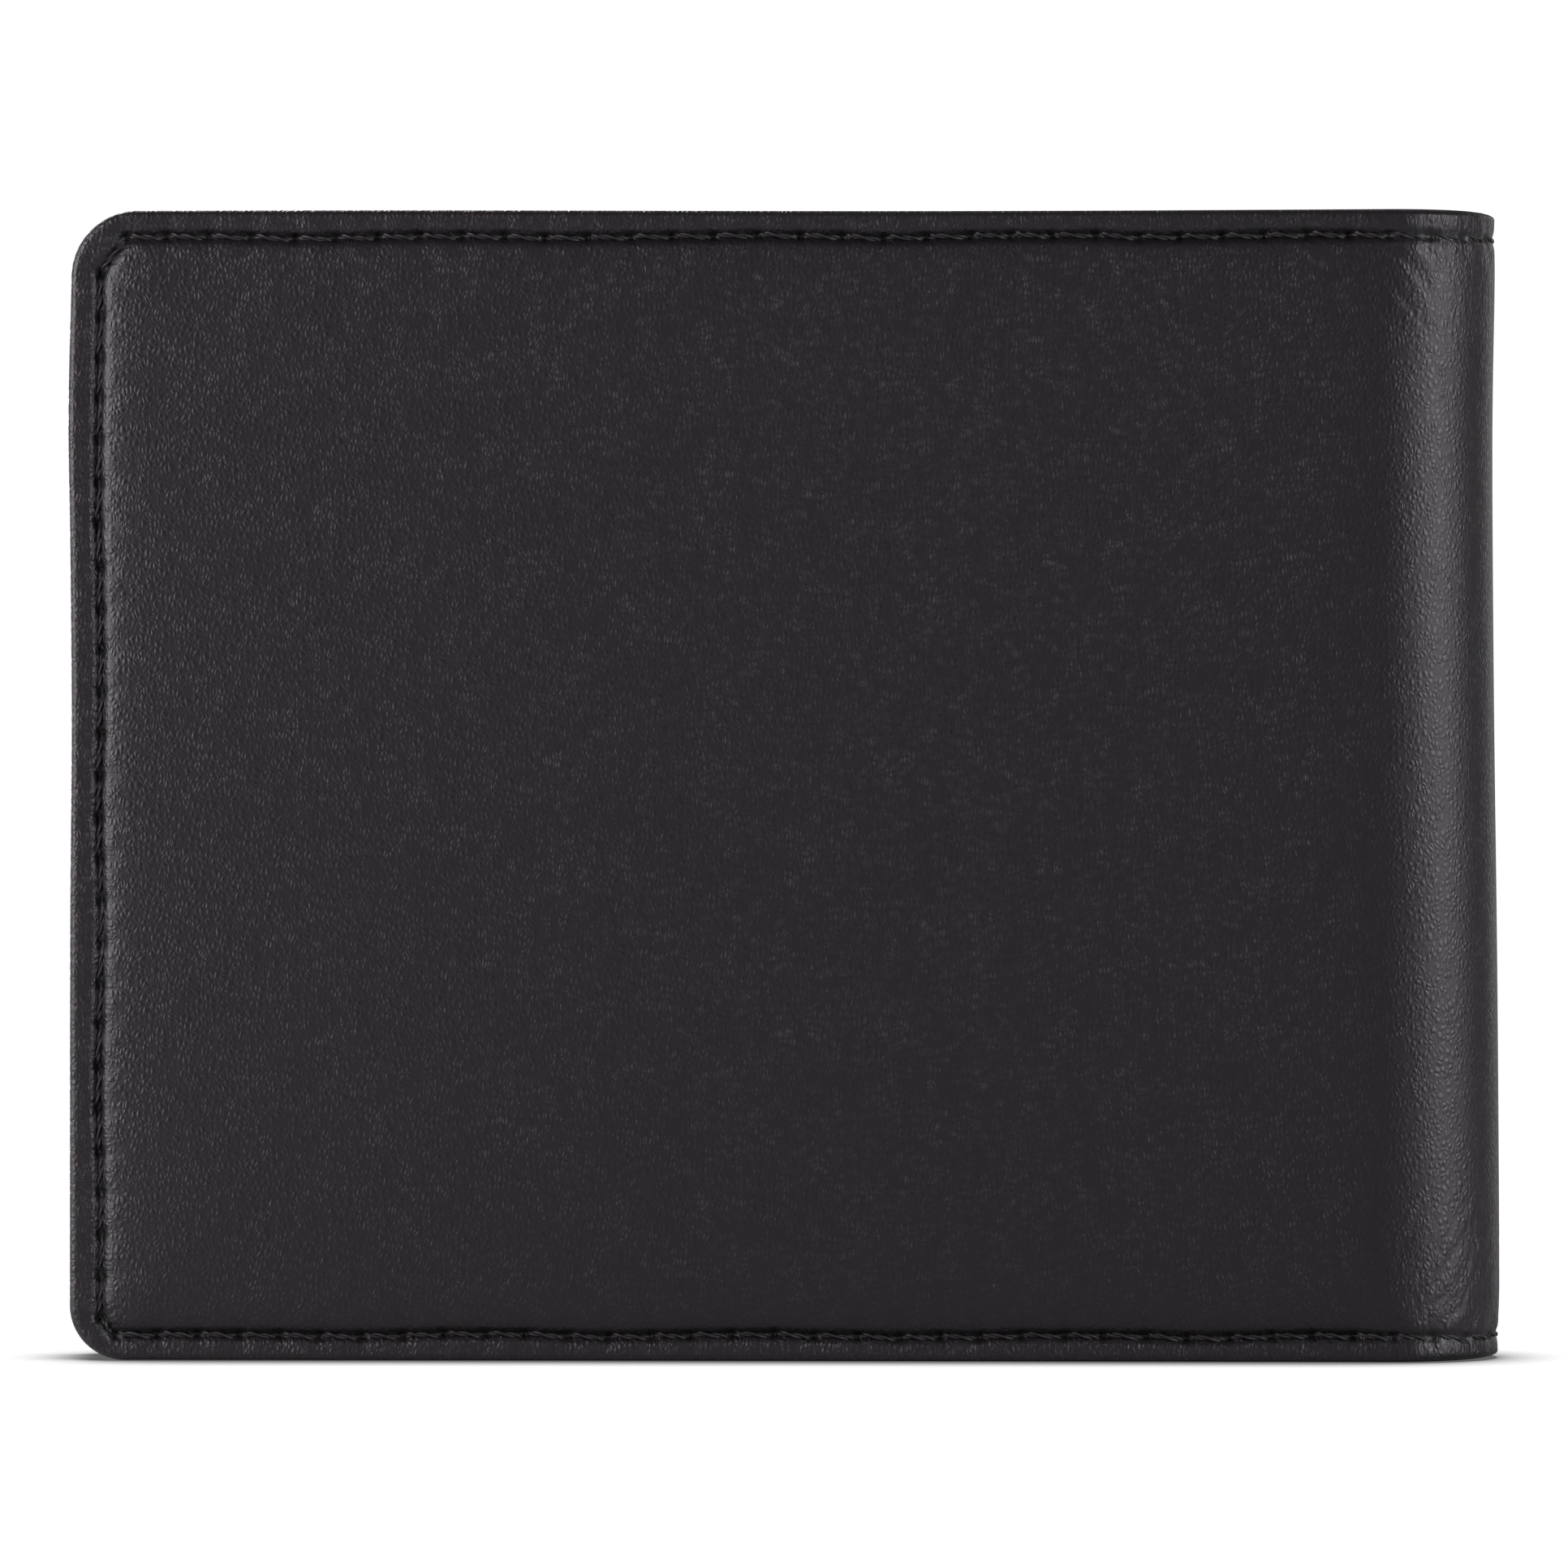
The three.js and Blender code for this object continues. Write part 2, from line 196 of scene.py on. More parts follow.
def make_mesh(name, points, faces, uv, material, flat=(), painted_seam_shade=None):
    """A mesh object from points in metres.

    Faces whose number is in flat are left unsmoothed, and the last argument says how much painted shade darkens
    each point down in a seam."""
    mesh = bpy.data.meshes.new(name)
    mesh.from_pydata(points.tolist(), [], faces)
    layer = mesh.uv_layers.new(name=UV_NAME)
    corners = np.empty(len(mesh.loops), np.int32)
    mesh.loops.foreach_get("vertex_index", corners)
    layer.data.foreach_set("uv", (np.asarray(uv)[corners] * MM).astype(np.float32).ravel())
    smooth = np.ones(len(mesh.polygons), bool)
    smooth[list(flat)] = False
    mesh.polygons.foreach_set("use_smooth", smooth)
    if painted_seam_shade is not None:
        attribute = mesh.attributes.new("painted_seam_shade", "FLOAT", "POINT")
        attribute.data.foreach_set("value", np.asarray(painted_seam_shade, np.float32))
    mesh.validate()
    face_out(mesh)
    mesh.materials.append(material)
    piece = bpy.data.objects.new(name, mesh)
    bpy.context.scene.collection.objects.link(piece)
    return piece


def shade_ends(piece, numbers, normals):
    """Shades a cut end as though the leather carried on past it."""
    mesh = piece.data
    wanted = np.zeros((len(mesh.vertices), 3))
    wanted[numbers] = normals
    corners = np.empty(len(mesh.loops), np.int32)
    mesh.loops.foreach_get("vertex_index", corners)
    smooth, sizes = np.empty(len(mesh.polygons), bool), np.empty(len(mesh.polygons), np.int32)
    mesh.polygons.foreach_get("use_smooth", smooth)
    mesh.polygons.foreach_get("loop_total", sizes)
    mesh.normals_split_custom_set((wanted[corners] * np.repeat(smooth, sizes)[:, None]).tolist())


def face_out(mesh):
    """Turns every face of a closed mesh outwards."""
    bm = bmesh.new()
    bm.from_mesh(mesh)
    bmesh.ops.recalc_face_normals(bm, faces=bm.faces)
    bm.to_mesh(mesh)
    bm.free()


def strip_faces(first, second):
    """Quads between two open rows of vertex numbers."""
    return [[first[i], first[i + 1], second[i + 1], second[i]] for i in range(len(first) - 1)]


def grid_faces(numbers):
    """Quads over a 2-D array of vertex numbers."""
    a, b = numbers[:-1, :-1], numbers[1:, :-1]
    c, d = numbers[1:, 1:], numbers[:-1, 1:]
    return np.stack([a, b, c, d], -1).reshape(-1, 4).tolist()


# ---------------------------------------------------------------- seams, as points in (away, z) on one half


def seam_holes(corners, seed, wander=0.1):
    """Needle holes along a run of straight seams, a whole number of stitches to each."""
    rng = np.random.default_rng(seed)
    holes = []
    for start, end in zip(corners[:-1], corners[1:]):
        start, end = np.array(start, float), np.array(end, float)
        length = np.linalg.norm(end - start)
        count = max(1, round(length / PITCH))
        along = (end - start) / length
        aside = np.array([-along[1], along[0]])
        for i in range(count):
            drift = wander * math.sin(0.9 * i + seed) + rng.uniform(-0.07, 0.07)
            slip = rng.uniform(-0.14, 0.14) if i else 0
            ease = 1 if i else 0
            holes.append(start + along * (i * length / count + slip) + aside * drift * ease)
    holes.append(np.array(corners[-1], float))
    return np.array(holes)


OUTER_SEAM = [
    (0, HEIGHT - TOP_SEAM),
    (REACH - SIDE_SEAM - 2.0, HEIGHT - TOP_SEAM),
    (REACH - SIDE_SEAM, HEIGHT - TOP_SEAM - 2.9),
    (REACH - SIDE_SEAM, LOW_SEAM + 1.3),
    (REACH - SIDE_SEAM - 1.1, LOW_SEAM),
    (0, LOW_SEAM),
]
SEAM_HOLES = {side: seam_holes(OUTER_SEAM, seed) for side, seed in (("front", 3), ("back", 11))}


def to_stitches(points, holes):
    """Each point's distance to the nearest stitch, and how far along that stitch it is, from 0 to 1."""
    best = np.full(len(points), 1e9)
    share = np.zeros(len(points))
    for a, b in zip(holes[:-1], holes[1:]):
        ab = b - a
        t = np.clip(((points - a) @ ab) / (ab @ ab), 0, 1)
        d = np.hypot(*(points - a - t[:, None] * ab).T)
        nearer = d < best
        best[nearer], share[nearer] = d[nearer], t[nearer]
    return best, share


# ---------------------------------------------------------------- the outer leather's relief

EDGE_MIDDLE = 1.94
EDGE_ROUND = 0.55
TURNED_FACE = 3.08


def flange_depth(away):
    """How deep the sewn flange lies: it drops beside the padded panel, and hardly at all round the fold."""
    return FLANGE_DROP * (0.2 + 0.8 * smoothstep(away, ARC - 4, ARC + 5))


def crown_depth(away, inset):
    """The leather's depth from the flange up over the padding."""
    climb = np.maximum(inset - 2.3, 0)
    share = np.where(inset < 2.3, 1, 0.5 * np.exp(-climb / 0.9) + 0.5 * np.exp(-climb / 3.2))
    return flange_depth(away) * share


FULLNESS = 0.38
SLACK = 0.62
SLACK_HEIGHT = 71


def fold_swell(away, z):
    """The fold is fuller low down and slack near its top."""
    slack = SLACK * bell(z - SLACK_HEIGHT, np.where(z > SLACK_HEIGHT, 20, 36))
    return (slack - FULLNESS) * (1 - smoothstep(away, 3, ARC + 2))


def creases(away, z):
    """Creases where the fold meets the seams: they fan up from the low one and down from the high one."""
    low = np.exp(-(((away - 7.5) / 5.5) ** 2) - ((z - 7) / 6.5) ** 2)
    high = np.exp(-(((away - 10.5) / 5) ** 2) - ((HEIGHT - 5 - z) / 4.5) ** 2)
    bent = 0.9 * soft_noise(away, z, 3.0, 5)
    up = soft_noise((z + 1.15 * away) * 1.25 + bent, (away - z) * 0.22, 1.0, 21)
    down = soft_noise((z - 1.3 * away) * 1.15 + bent, (away + z) * 0.25, 1.0, 22)
    return 0.07 * low * up + 0.05 * high * down


def seam_pull(away):
    """How hard the seam pulls the leather down: full on the flat halves, little round the fold."""
    return 0.3 + 0.7 * smoothstep(away, ARC - 7, ARC + 3)


SEAM_REACH = 6.5  # how far in from the outline the seam can shape the leather


def seam_relief(side, places):
    """How much the seam deepens the leather at flat places near it, and how much painted shade darkens each one
    down in the seam.
    """
    far, share = to_stitches(places, SEAM_HOLES[side])
    to_hole = far**2 + (np.minimum(share, 1 - share) * PITCH) ** 2
    firm = seam_pull(places[:, 0])
    groove = firm * (0.45 * bell(far, 0.42) + 0.09 * bell(far, 1.2))
    pit = (0.15 + 0.2 * firm) * np.exp(-to_hole / 0.4**2)
    pucker = 0.05 * bell(far - 1.0, 0.6) * np.cos(2 * math.pi * share)
    # Painted shade: how much the leather is darkened down in the groove and the needle holes.
    painted_seam_shade = np.clip(0.55 * bell(far, 0.36) + 0.9 * np.exp(-to_hole / 0.42**2), 0, 1)
    return groove + pit + pucker, painted_seam_shade


def skin(side, away, z, inset):
    """The outer leather's depth and how much painted shade darkens each point down in the seam, from its flat
    place.
    """
    depth = crown_depth(away, inset)
    depth = depth + fold_swell(away, z) + creases(away, z)
    depth = depth + 0.05 * soft_noise(away, z, 21, 7) * smoothstep(inset, 3, 9)
    flat = np.stack([away, z], -1).reshape(-1, 2)
    near = np.flatnonzero(inset.ravel() < SEAM_REACH)
    relief, painted_seam_shade = np.zeros(len(flat)), np.zeros(len(flat))
    relief[near], painted_seam_shade[near] = seam_relief(side, flat[near])
    depth = depth + relief.reshape(inset.shape)
    edge = np.clip(1 - inset / EDGE_ROUND, 0, 1)
    depth = depth + (EDGE_MIDDLE - depth) * (1 - np.sqrt(1 - edge**2))
    return depth, painted_seam_shade.reshape(inset.shape)


# From the outline round the edge and back inside: (inset, depth) of the turned-in leather and the inner skin.
ROUND_BACK = [
    (EDGE_ROUND * (1 - math.sqrt(1 - t * t)), EDGE_MIDDLE + (TURNED_FACE - EDGE_MIDDLE) * t)
    for t in (0.35, 0.65, 0.85, 0.95, 1.0)
]
TURNED_END = 6.8
INNER_LEVELS = [
    *ROUND_BACK,
    (1.5, TURNED_FACE),
    (1.8, 2.98),
    (2.1, 2.9),
    (2.4, 2.98),
    (2.7, TURNED_FACE),
    (4.5, TURNED_FACE),
    (TURNED_END - 0.35, TURNED_FACE - 0.02),
    (TURNED_END - 0.08, 2.98),
    (TURNED_END, 2.8),
    (TURNED_END - 0.08, 2.62),
    (TURNED_END - 0.35, 2.54),
    (1.3, 2.52),
    (1.3, 2.2),
    (4.5, 2.2),
    (4.5, 1.1),
]
LEVELS_BEFORE = [(0, EDGE_MIDDLE), *INNER_LEVELS[:-1]]
LEVEL_RUN = np.cumsum([math.hypot(b[0] - a[0], b[1] - a[1]) for a, b in zip(LEVELS_BEFORE, INNER_LEVELS)])


def edge_wander(away, z):
    """The outline isn't cut quite straight: how far it strays at the free edge, and at the top."""
    free = 0.13 * bell(z - 73, 6) - 0.13 * bell(z - 50, 11) - 0.12 * smoothstep(z, 78, 86)
    top = 0.07 * np.sin((REACH - away) / 17 + 0.6)
    return free, top


# Steps across the border, from the outline inwards.
BORDER_STEPS = np.concatenate(
    [
        [0, 0.03, 0.1, 0.22, 0.38, 0.55, 0.8, 1.05, 1.25],
        np.arange(1.4, 4.0, 0.15),
        np.arange(4.0, 6.0, 0.28),
        np.arange(6.1, BORDER - 0.2, 0.38),
    ]
)


def spaced(start, end, step):
    """Even steps from start to end, about this long."""
    return np.linspace(start, end, max(2, round(abs(end - start) / step) + 1))


ALONG_SEAM = PITCH / 8
BETWEEN = spaced(BORDER, HEIGHT - BORDER, ALONG_SEAM)
ROWS = np.concatenate([BORDER_STEPS, BETWEEN, (HEIGHT - BORDER_STEPS)[::-1]])


def round_corner(p, q, radius):
    """Bends square rings into round-cornered ones. p and q are distances from the corner's two edges."""
    level = np.minimum(p, q)
    along = np.maximum(p, q) - level
    span = np.maximum(BORDER - level, 1e-6)
    r = np.maximum(radius * (1 - level / BORDER), 1e-6)
    quarter = r * math.pi / 4
    run = along / span * (span - r + quarter)
    turn = math.pi / 4 + np.minimum(run / r, math.pi / 4)
    onward = level + r - r * np.cos(turn) + np.maximum(run - quarter, 0)
    inward = level + r - r * np.sin(turn)
    return np.where(p >= q, onward, inward), np.where(p >= q, inward, onward)


def rounded(away, z):
    """Moves points of a square-cornered half to its round corners."""
    p = REACH - away
    low_p, low_q = round_corner(p, z, LOW_CORNER_R)
    top_p, top_q = round_corner(p, HEIGHT - z, TOP_CORNER_R)
    at_low = (p < BORDER) & (z < BORDER)
    at_top = (p < BORDER) & (HEIGHT - z < BORDER)
    new_p = np.where(at_low, low_p, np.where(at_top, top_p, p))
    new_z = np.where(at_low, low_q, np.where(at_top, HEIGHT - top_q, z))
    return REACH - new_p, new_z


SIGN = {"front": -1, "back": 1}
HALF_START = ARC + 1.8  # where a half's own pieces end and the fold's begin


def strayed(away, z):
    """The flat place of a point once the outline's straying is added."""
    free, top = edge_wander(away, z)
    p, q = REACH - away, HEIGHT - z
    return away + free * np.exp(-p / 5), z + top * np.exp(-q / 5)


def outer_skin(u, z, inset):
    """Points on the outer leather in metres, and how much painted shade darkens each down in a seam."""
    away = np.abs(u)
    depth, painted_seam_shade = skin("front" if np.mean(u) < 0 else "back", away, z, inset)
    if np.min(u) < 0 < np.max(u):
        other = skin("front", away, z, inset)
        depth, painted_seam_shade = np.where(u < 0, other[0], depth), np.where(u < 0, other[1], painted_seam_shade)
    bent_away, bent_z = strayed(away, z)
    return shell(np.where(u < 0, -bent_away, bent_away), depth, bent_z), painted_seam_shade


def end_normals(u):
    """The outer leather's normals down the column at u."""
    along, z = np.meshgrid(u + np.array([-0.12, 0, 0.12]), ROWS, indexing="ij")
    points, _ = outer_skin(along, z, np.minimum(z, HEIGHT - z))
    normals = np.cross(points[2] - points[0], np.gradient(points[1], axis=0))
    normals /= np.linalg.norm(normals, axis=1, keepdims=True)
    outward = shell(u, -1, 0) - shell(u, 0, 0)
    return normals * np.sign(normals[len(ROWS) // 2] @ outward)


def cover_half(side, material):
    """One half's outer leather, with its edge turned in over the lining."""
    sign = SIGN[side]
    columns = np.concatenate([spaced(HALF_START, REACH - BORDER, ALONG_SEAM), REACH - BORDER_STEPS[::-1]])
    away, z = np.meshgrid(columns, ROWS, indexing="ij")
    inset = np.minimum(REACH - away, np.minimum(z, HEIGHT - z))
    away, z = rounded(away, z)
    outer, painted_seam_shade = outer_skin(sign * away, z, inset)
    points = [outer.reshape(-1, 3)]
    uvs = [np.stack([sign * away, z], -1).reshape(-1, 2)]
    numbers = np.arange(away.size).reshape(away.shape)
    faces = grid_faces(numbers)

    # The outline, from the fold's low corner round to its high one.
    outline = np.concatenate([numbers[:, 0], numbers[-1, 1:], numbers[-2::-1, -1]])
    run_p = np.concatenate([REACH - columns, np.zeros(len(ROWS) - 1), (REACH - columns)[-2::-1]])
    run_z = np.concatenate([np.zeros(len(columns)), ROWS[1:], np.full(len(columns) - 1, HEIGHT)])
    edge_of = np.where(run_z <= 0, 0, np.where(run_z >= HEIGHT, 2, 1))
    base = away.size
    previous = outline
    count = len(outline)
    flat_places = np.stack([away, z], -1).reshape(-1, 2)[outline]
    tangent = np.gradient(flat_places, axis=0)
    outward = np.stack([tangent[:, 1], -tangent[:, 0]], -1)
    outward /= np.linalg.norm(outward, axis=1, keepdims=True)
    for (level, level_depth), run in zip(INNER_LEVELS, LEVEL_RUN):
        shrink = (BORDER - level) / BORDER
        p = np.where(edge_of == 1, level, np.where(run_p < BORDER, level + run_p * shrink, run_p))
        near_low = np.where(run_z < BORDER, level + run_z * shrink, run_z)
        near_top = np.where(HEIGHT - run_z < BORDER, HEIGHT - level - (HEIGHT - run_z) * shrink, near_low)
        q = np.where(edge_of == 0, level, np.where(edge_of == 2, HEIGHT - level, near_top))
        ring_away, ring_z = rounded(REACH - p, q)
        ring_away, ring_z = strayed(ring_away, ring_z)
        points.append(shell(sign * ring_away, level_depth, ring_z))
        uvs.append((flat_places + outward * run) * [sign, 1])
        ring = np.arange(base, base + count)
        faces += strip_faces(previous, ring)
        base += count
        previous = ring
    sharp = len(faces)
    faces.append(previous.tolist())
    ends_low = [away.size + k * count for k in range(len(INNER_LEVELS))]
    ends_high = [n + count - 1 for n in ends_low]
    faces.append(numbers[0, ::-1].tolist() + ends_low + ends_high[::-1])
    spare = np.zeros(base - away.size)
    piece = make_mesh(
        f"cover_leather_{side}",
        np.concatenate(points),
        faces,
        np.concatenate(uvs),
        material,
        flat=(sharp, sharp + 1),
        painted_seam_shade=np.concatenate([painted_seam_shade.ravel(), spare]),
    )
    shade_ends(piece, numbers[0, 3:-3], end_normals(sign * HALF_START)[3:-3])
    return piece


def fold_leather(name, start, end, material):
    """The outer leather between two lengths along the fold, as one closed loop swept round it."""
    columns = spaced(start, end, 0.3)
    along, z = np.meshgrid(columns, ROWS, indexing="ij")
    outer, painted_seam_shade = outer_skin(along, z, np.minimum(z, HEIGHT - z))
    levels = np.array(INNER_LEVELS)
    loops, maps, deep = [], [], []
    for i, u in enumerate(columns):
        _, high_z = strayed(abs(u), HEIGHT - levels[:, 0])
        loops += [outer[i], shell(u, levels[:, 1], high_z), shell(u, levels[::-1, 1], levels[::-1, 0])]
        heights = np.concatenate([z[i], HEIGHT + LEVEL_RUN, -LEVEL_RUN[::-1]])
        maps.append(np.stack([np.full(len(heights), u), heights], -1))
        # Each column's painted seam shade goes along with its points.
        deep += [painted_seam_shade[i], np.zeros(2 * len(levels))]
    count = len(maps[0])
    numbers = np.arange(count * len(columns)).reshape(len(columns), count)
    faces = grid_faces(np.concatenate([numbers, numbers[:, :1]], 1))
    sharp = len(faces)
    faces += [numbers[0].tolist(), numbers[-1][::-1].tolist()]
    piece = make_mesh(
        name,
        np.concatenate(loops),
        faces,
        np.concatenate(maps),
        material,
        flat=(sharp, sharp + 1),
        painted_seam_shade=np.concatenate(deep),
    )
    rows = slice(3, len(ROWS) - 3)
    ends = np.concatenate([numbers[0, rows], numbers[-1, rows]])
    shade_ends(piece, ends, np.concatenate([end_normals(start)[rows], end_normals(end)[rows]]))
    return piece


# ---------------------------------------------------------------- thin layers


def layer(name, away, z, outer, inner, material, sign, bulge=0.4):
    """A closed layer over a grid of flat places, with outer and inner depths and rounded edges."""
    shape = away.shape
    outer, inner = np.broadcast_to(outer, shape), np.broadcast_to(inner, shape)
    top = shell(sign * away, outer, z).reshape(-1, 3)
    under = shell(sign * away, inner, z).reshape(-1, 3)
    numbers = np.arange(away.size).reshape(shape)
    faces = grid_faces(numbers) + grid_faces(numbers + away.size)
    rim = np.concatenate([numbers[:, 0], numbers[-1, 1:], numbers[-2::-1, -1], numbers[0, -2:0:-1]])
    places = np.stack([away, z], -1).reshape(-1, 2)
    ring = places[rim]
    tangent = np.roll(ring, -1, 0) - np.roll(ring, 1, 0)
    outward = np.stack([tangent[:, 1], -tangent[:, 0]], -1)
    outward /= np.maximum(np.linalg.norm(outward, axis=1, keepdims=True), 1e-9)
    middle = (outer.ravel()[rim] + inner.ravel()[rim]) / 2
    proud = bulge * (inner.ravel()[rim] - outer.ravel()[rim])[:, None]
    pushed = ring + outward * proud
    edge = shell(sign * pushed[:, 0], middle, pushed[:, 1])
    ring_numbers = np.arange(2 * away.size, 2 * away.size + len(rim))
    closed = np.append(ring_numbers, ring_numbers[0])
    closed_rim = np.append(rim, rim[0])
    faces += strip_faces(closed_rim, closed)
    faces += strip_faces(closed, closed_rim + away.size)
    flat = places * [sign, 1]
    uv = np.concatenate([flat, flat, (ring + outward * 2 * proud) * [sign, 1]])
    cut = range(len(faces) - 2 * len(rim), len(faces)) if bulge == 0 else ()
    return make_mesh(name, np.concatenate([top, under, edge]), faces, uv, material, flat=cut)


# Steps in from a layer's edge, where it has its turned edge and crease.
FINE = np.array([0, 0.12, 0.3, 0.6, 1.0, 1.5, 1.75, 2.0, 2.25, 2.5, 2.75, 3.1, 3.6])


def panel_grid(start, end, low, high, step, low_r=0.0, top_r=0.0):
    """Flat places over a half's panel, finer near its edges, with its two far corners rounded."""
    columns = np.concatenate([start + FINE, spaced(start + 4.4, end - 4.4, step), end - FINE[::-1]])
    rows = np.concatenate([low + FINE, spaced(low + 4.4, high - 4.4, step), high - FINE[::-1]])
    away, z = np.meshgrid(columns, rows, indexing="ij")
    for r, base, way in ((low_r, low, 1), (top_r, high, -1)):
        p, q = end - away, (z - base) * way
        inside = (p < r) & (q < r)
        angle = np.arctan2(r - q, r - p)
        square = np.maximum(r - p, r - q)
        away = np.where(inside, end - r + square * np.cos(angle), away)
        z = np.where(inside, base + way * (r - square * np.sin(angle)), z)
    return away, z


def sway(away, z):
    """A slow wave that all of a half's inner layers share, so that they stay nested."""
    return 0.05 * soft_noise(away, z, 26, 31)


def turned_top(z, top):
    """How much thicker a pocket is at its turned top edge, with the creased line below it."""
    below = top - z
    return 0.07 * np.exp(-((below / 1.5) ** 4)) - 0.1 * bell(below - 2.2, 0.22)


def pocket(name, side, top, depths):
    """A pocket's leather, a little slack in the middle of its open edge."""
    away, z = panel_grid(
        ARC + POCKET_FOLD_EDGE, REACH - POCKET_INSET, POCKET_INSET, top, 1.1, LOW_CORNER_R - POCKET_INSET, 1.0
    )
    slack = 0.1 * bell(away - (ARC + HALF_LENGTH / 2), 30) * smoothstep(z, top - 18, top)
    wave = sway(away, z) * smoothstep(np.minimum(REACH - away, z), 3, 14)
    inner = depths[1] + turned_top(z, top) + slack + wave
    outer = depths[0] + wave + slack * 0.9
    return layer(name, away, z, outer, inner, INNER, SIGN[side])


# ---------------------------------------------------------------- thread


def lay_thread(name, runs, material, handed=1):
    """Twisted two-ply stitches.

    A run is u and z at its start and at its end, the face's depth at each, and 1 outside or -1 inside."""
    runs = np.array(runs, float)
    steps, sides, plies = 15, 7, 2
    t = (1 - np.cos(np.linspace(0, math.pi, steps))) / 2
    start, end = runs[:, 0:2], runs[:, 2:4]
    centre = start[:, None] + (end - start)[:, None] * t[None, :, None]
    along = end - start
    along = along / np.linalg.norm(along, axis=1, keepdims=True)
    aside = np.stack([-along[:, 1], along[:, 0]], -1)
    face = runs[:, 4:5] + (runs[:, 5:6] - runs[:, 4:5]) * t
    inward = runs[:, 6:7]
    sink = STITCH_SINK * np.abs(2 * t - 1)[None] ** 5
    rng = np.random.default_rng(len(runs))
    phase = rng.uniform(0, 2 * math.pi, len(runs))[:, None]
    fat = rng.uniform(0.92, 1.08, len(runs))[:, None]
    verts = []
    around = np.arange(sides) / sides * 2 * math.pi
    for ply in range(plies):
        turn = handed * 2 * math.pi * TURNS_PER_STITCH * t[None] + phase + ply * math.pi
        ply_side = PLY_OFFSET * np.cos(turn) * fat
        ply_up = PLY_OFFSET * np.sin(turn) * fat
        side_way = ply_side[:, :, None] + PLY_R * fat[:, :, None] * np.cos(around)
        up_way = ply_up[:, :, None] + PLY_R * fat[:, :, None] * np.sin(around)
        flat = centre[:, :, None] + aside[:, None, None] * side_way[..., None]
        depth = face[:, :, None] + inward[:, :, None] * (sink[:, :, None] - up_way)
        verts.append(shell(flat[..., 0], depth, flat[..., 1]))
    points = np.stack(verts, 1).reshape(-1, 3)
    tubes = len(runs) * plies
    ring = np.arange(sides)
    faces = []
    for tube in range(tubes):
        base = tube * steps * sides
        for s in range(steps - 1):
            low = base + s * sides
            faces += [
                [low + a, low + (a + 1) % sides, low + sides + (a + 1) % sides, low + sides + a] for a in ring
            ]
        faces.append((base + ring[::-1]).tolist())
        faces.append((base + (steps - 1) * sides + ring).tolist())
    length = np.linalg.norm(end - start, axis=1)[:, None] * t[None]
    u_map = np.repeat(np.repeat(length[:, None], plies, 1)[..., None], sides, -1)
    v_map = np.broadcast_to(around * PLY_R, u_map.shape)
    return make_mesh(name, points, faces, np.stack([u_map, v_map], -1).reshape(-1, 2), material)


def slanted(holes, side):
    """Stitches between holes, each from one side of the seam line to the other, as a machine leaves them."""
    lean = STITCH_SLANT if side == "front" else -STITCH_SLANT
    rows = []
    for a, b in zip(holes[:-1], holes[1:]):
        along = (b - a) / np.linalg.norm(b - a)
        out = np.array([along[1], -along[0]])
        rows.append((a + along * STITCH_GAP + out * lean, b - along * STITCH_GAP - out * lean))
    return rows


def seam_face(away, height):
    """The depth of the flange's face at the seam, with the thread sunk into it."""
    return float(flange_depth(away) + fold_swell(away, height) + 0.1 + 0.32 * seam_pull(away))


def fold_zones():
    """Where the fold is cut: name, start and end along the leather, and the bodies that each zone follows."""
    cuts = [arc_at(STRIP_TURN * k / 2) for k in (1, 2, 4, 6, 8)] + [HALF_START]
    zones = [("fold_middle", -cuts[0], cuts[0], ["fold_middle"])]
    for side, sign in SIGN.items():
        chain = [f"{side}_fold_strip_{k}" for k in (4, 3, 2, 1)] + [f"{side}_half"]
        zones.append((f"{side}_fold_1", sign * cuts[0], sign * cuts[1], chain[:1]))
        for k in range(1, 5):
            zones.append((f"{side}_fold_{k + 1}", sign * cuts[k], sign * cuts[k + 1], chain[k - 1 : k + 1]))
    return zones


FOLD_ZONES = fold_zones()


def follow(piece, zone, depth):
    """Rides with the body that a zone of the fold follows, where it follows only one; a zone between two bodies is
    only baked where it stands."""
    _, start, end, bodies = zone
    if len(bodies) == 1:
        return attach(piece, bodies[0])
    start, end = (Vector(shell(u, depth, HEIGHT / 2).tolist()) for u in (start, end))
    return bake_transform(piece)


# The CAD strip that each zone's piece stands for. The zones next to the halves have none of their own.
STRIP_NUMBER = {"fold_middle": 5}
for k in range(1, 5):
    STRIP_NUMBER |= {f"front_fold_{k}": 5 - k, f"back_fold_{k}": 5 + k}


def settle(piece, body, slot, *stands_for):
    """Rides with a body, in place of its CAD nodes."""
    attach(piece, body)
    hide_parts(*stands_for)


# ---------------------------------------------------------------- materials


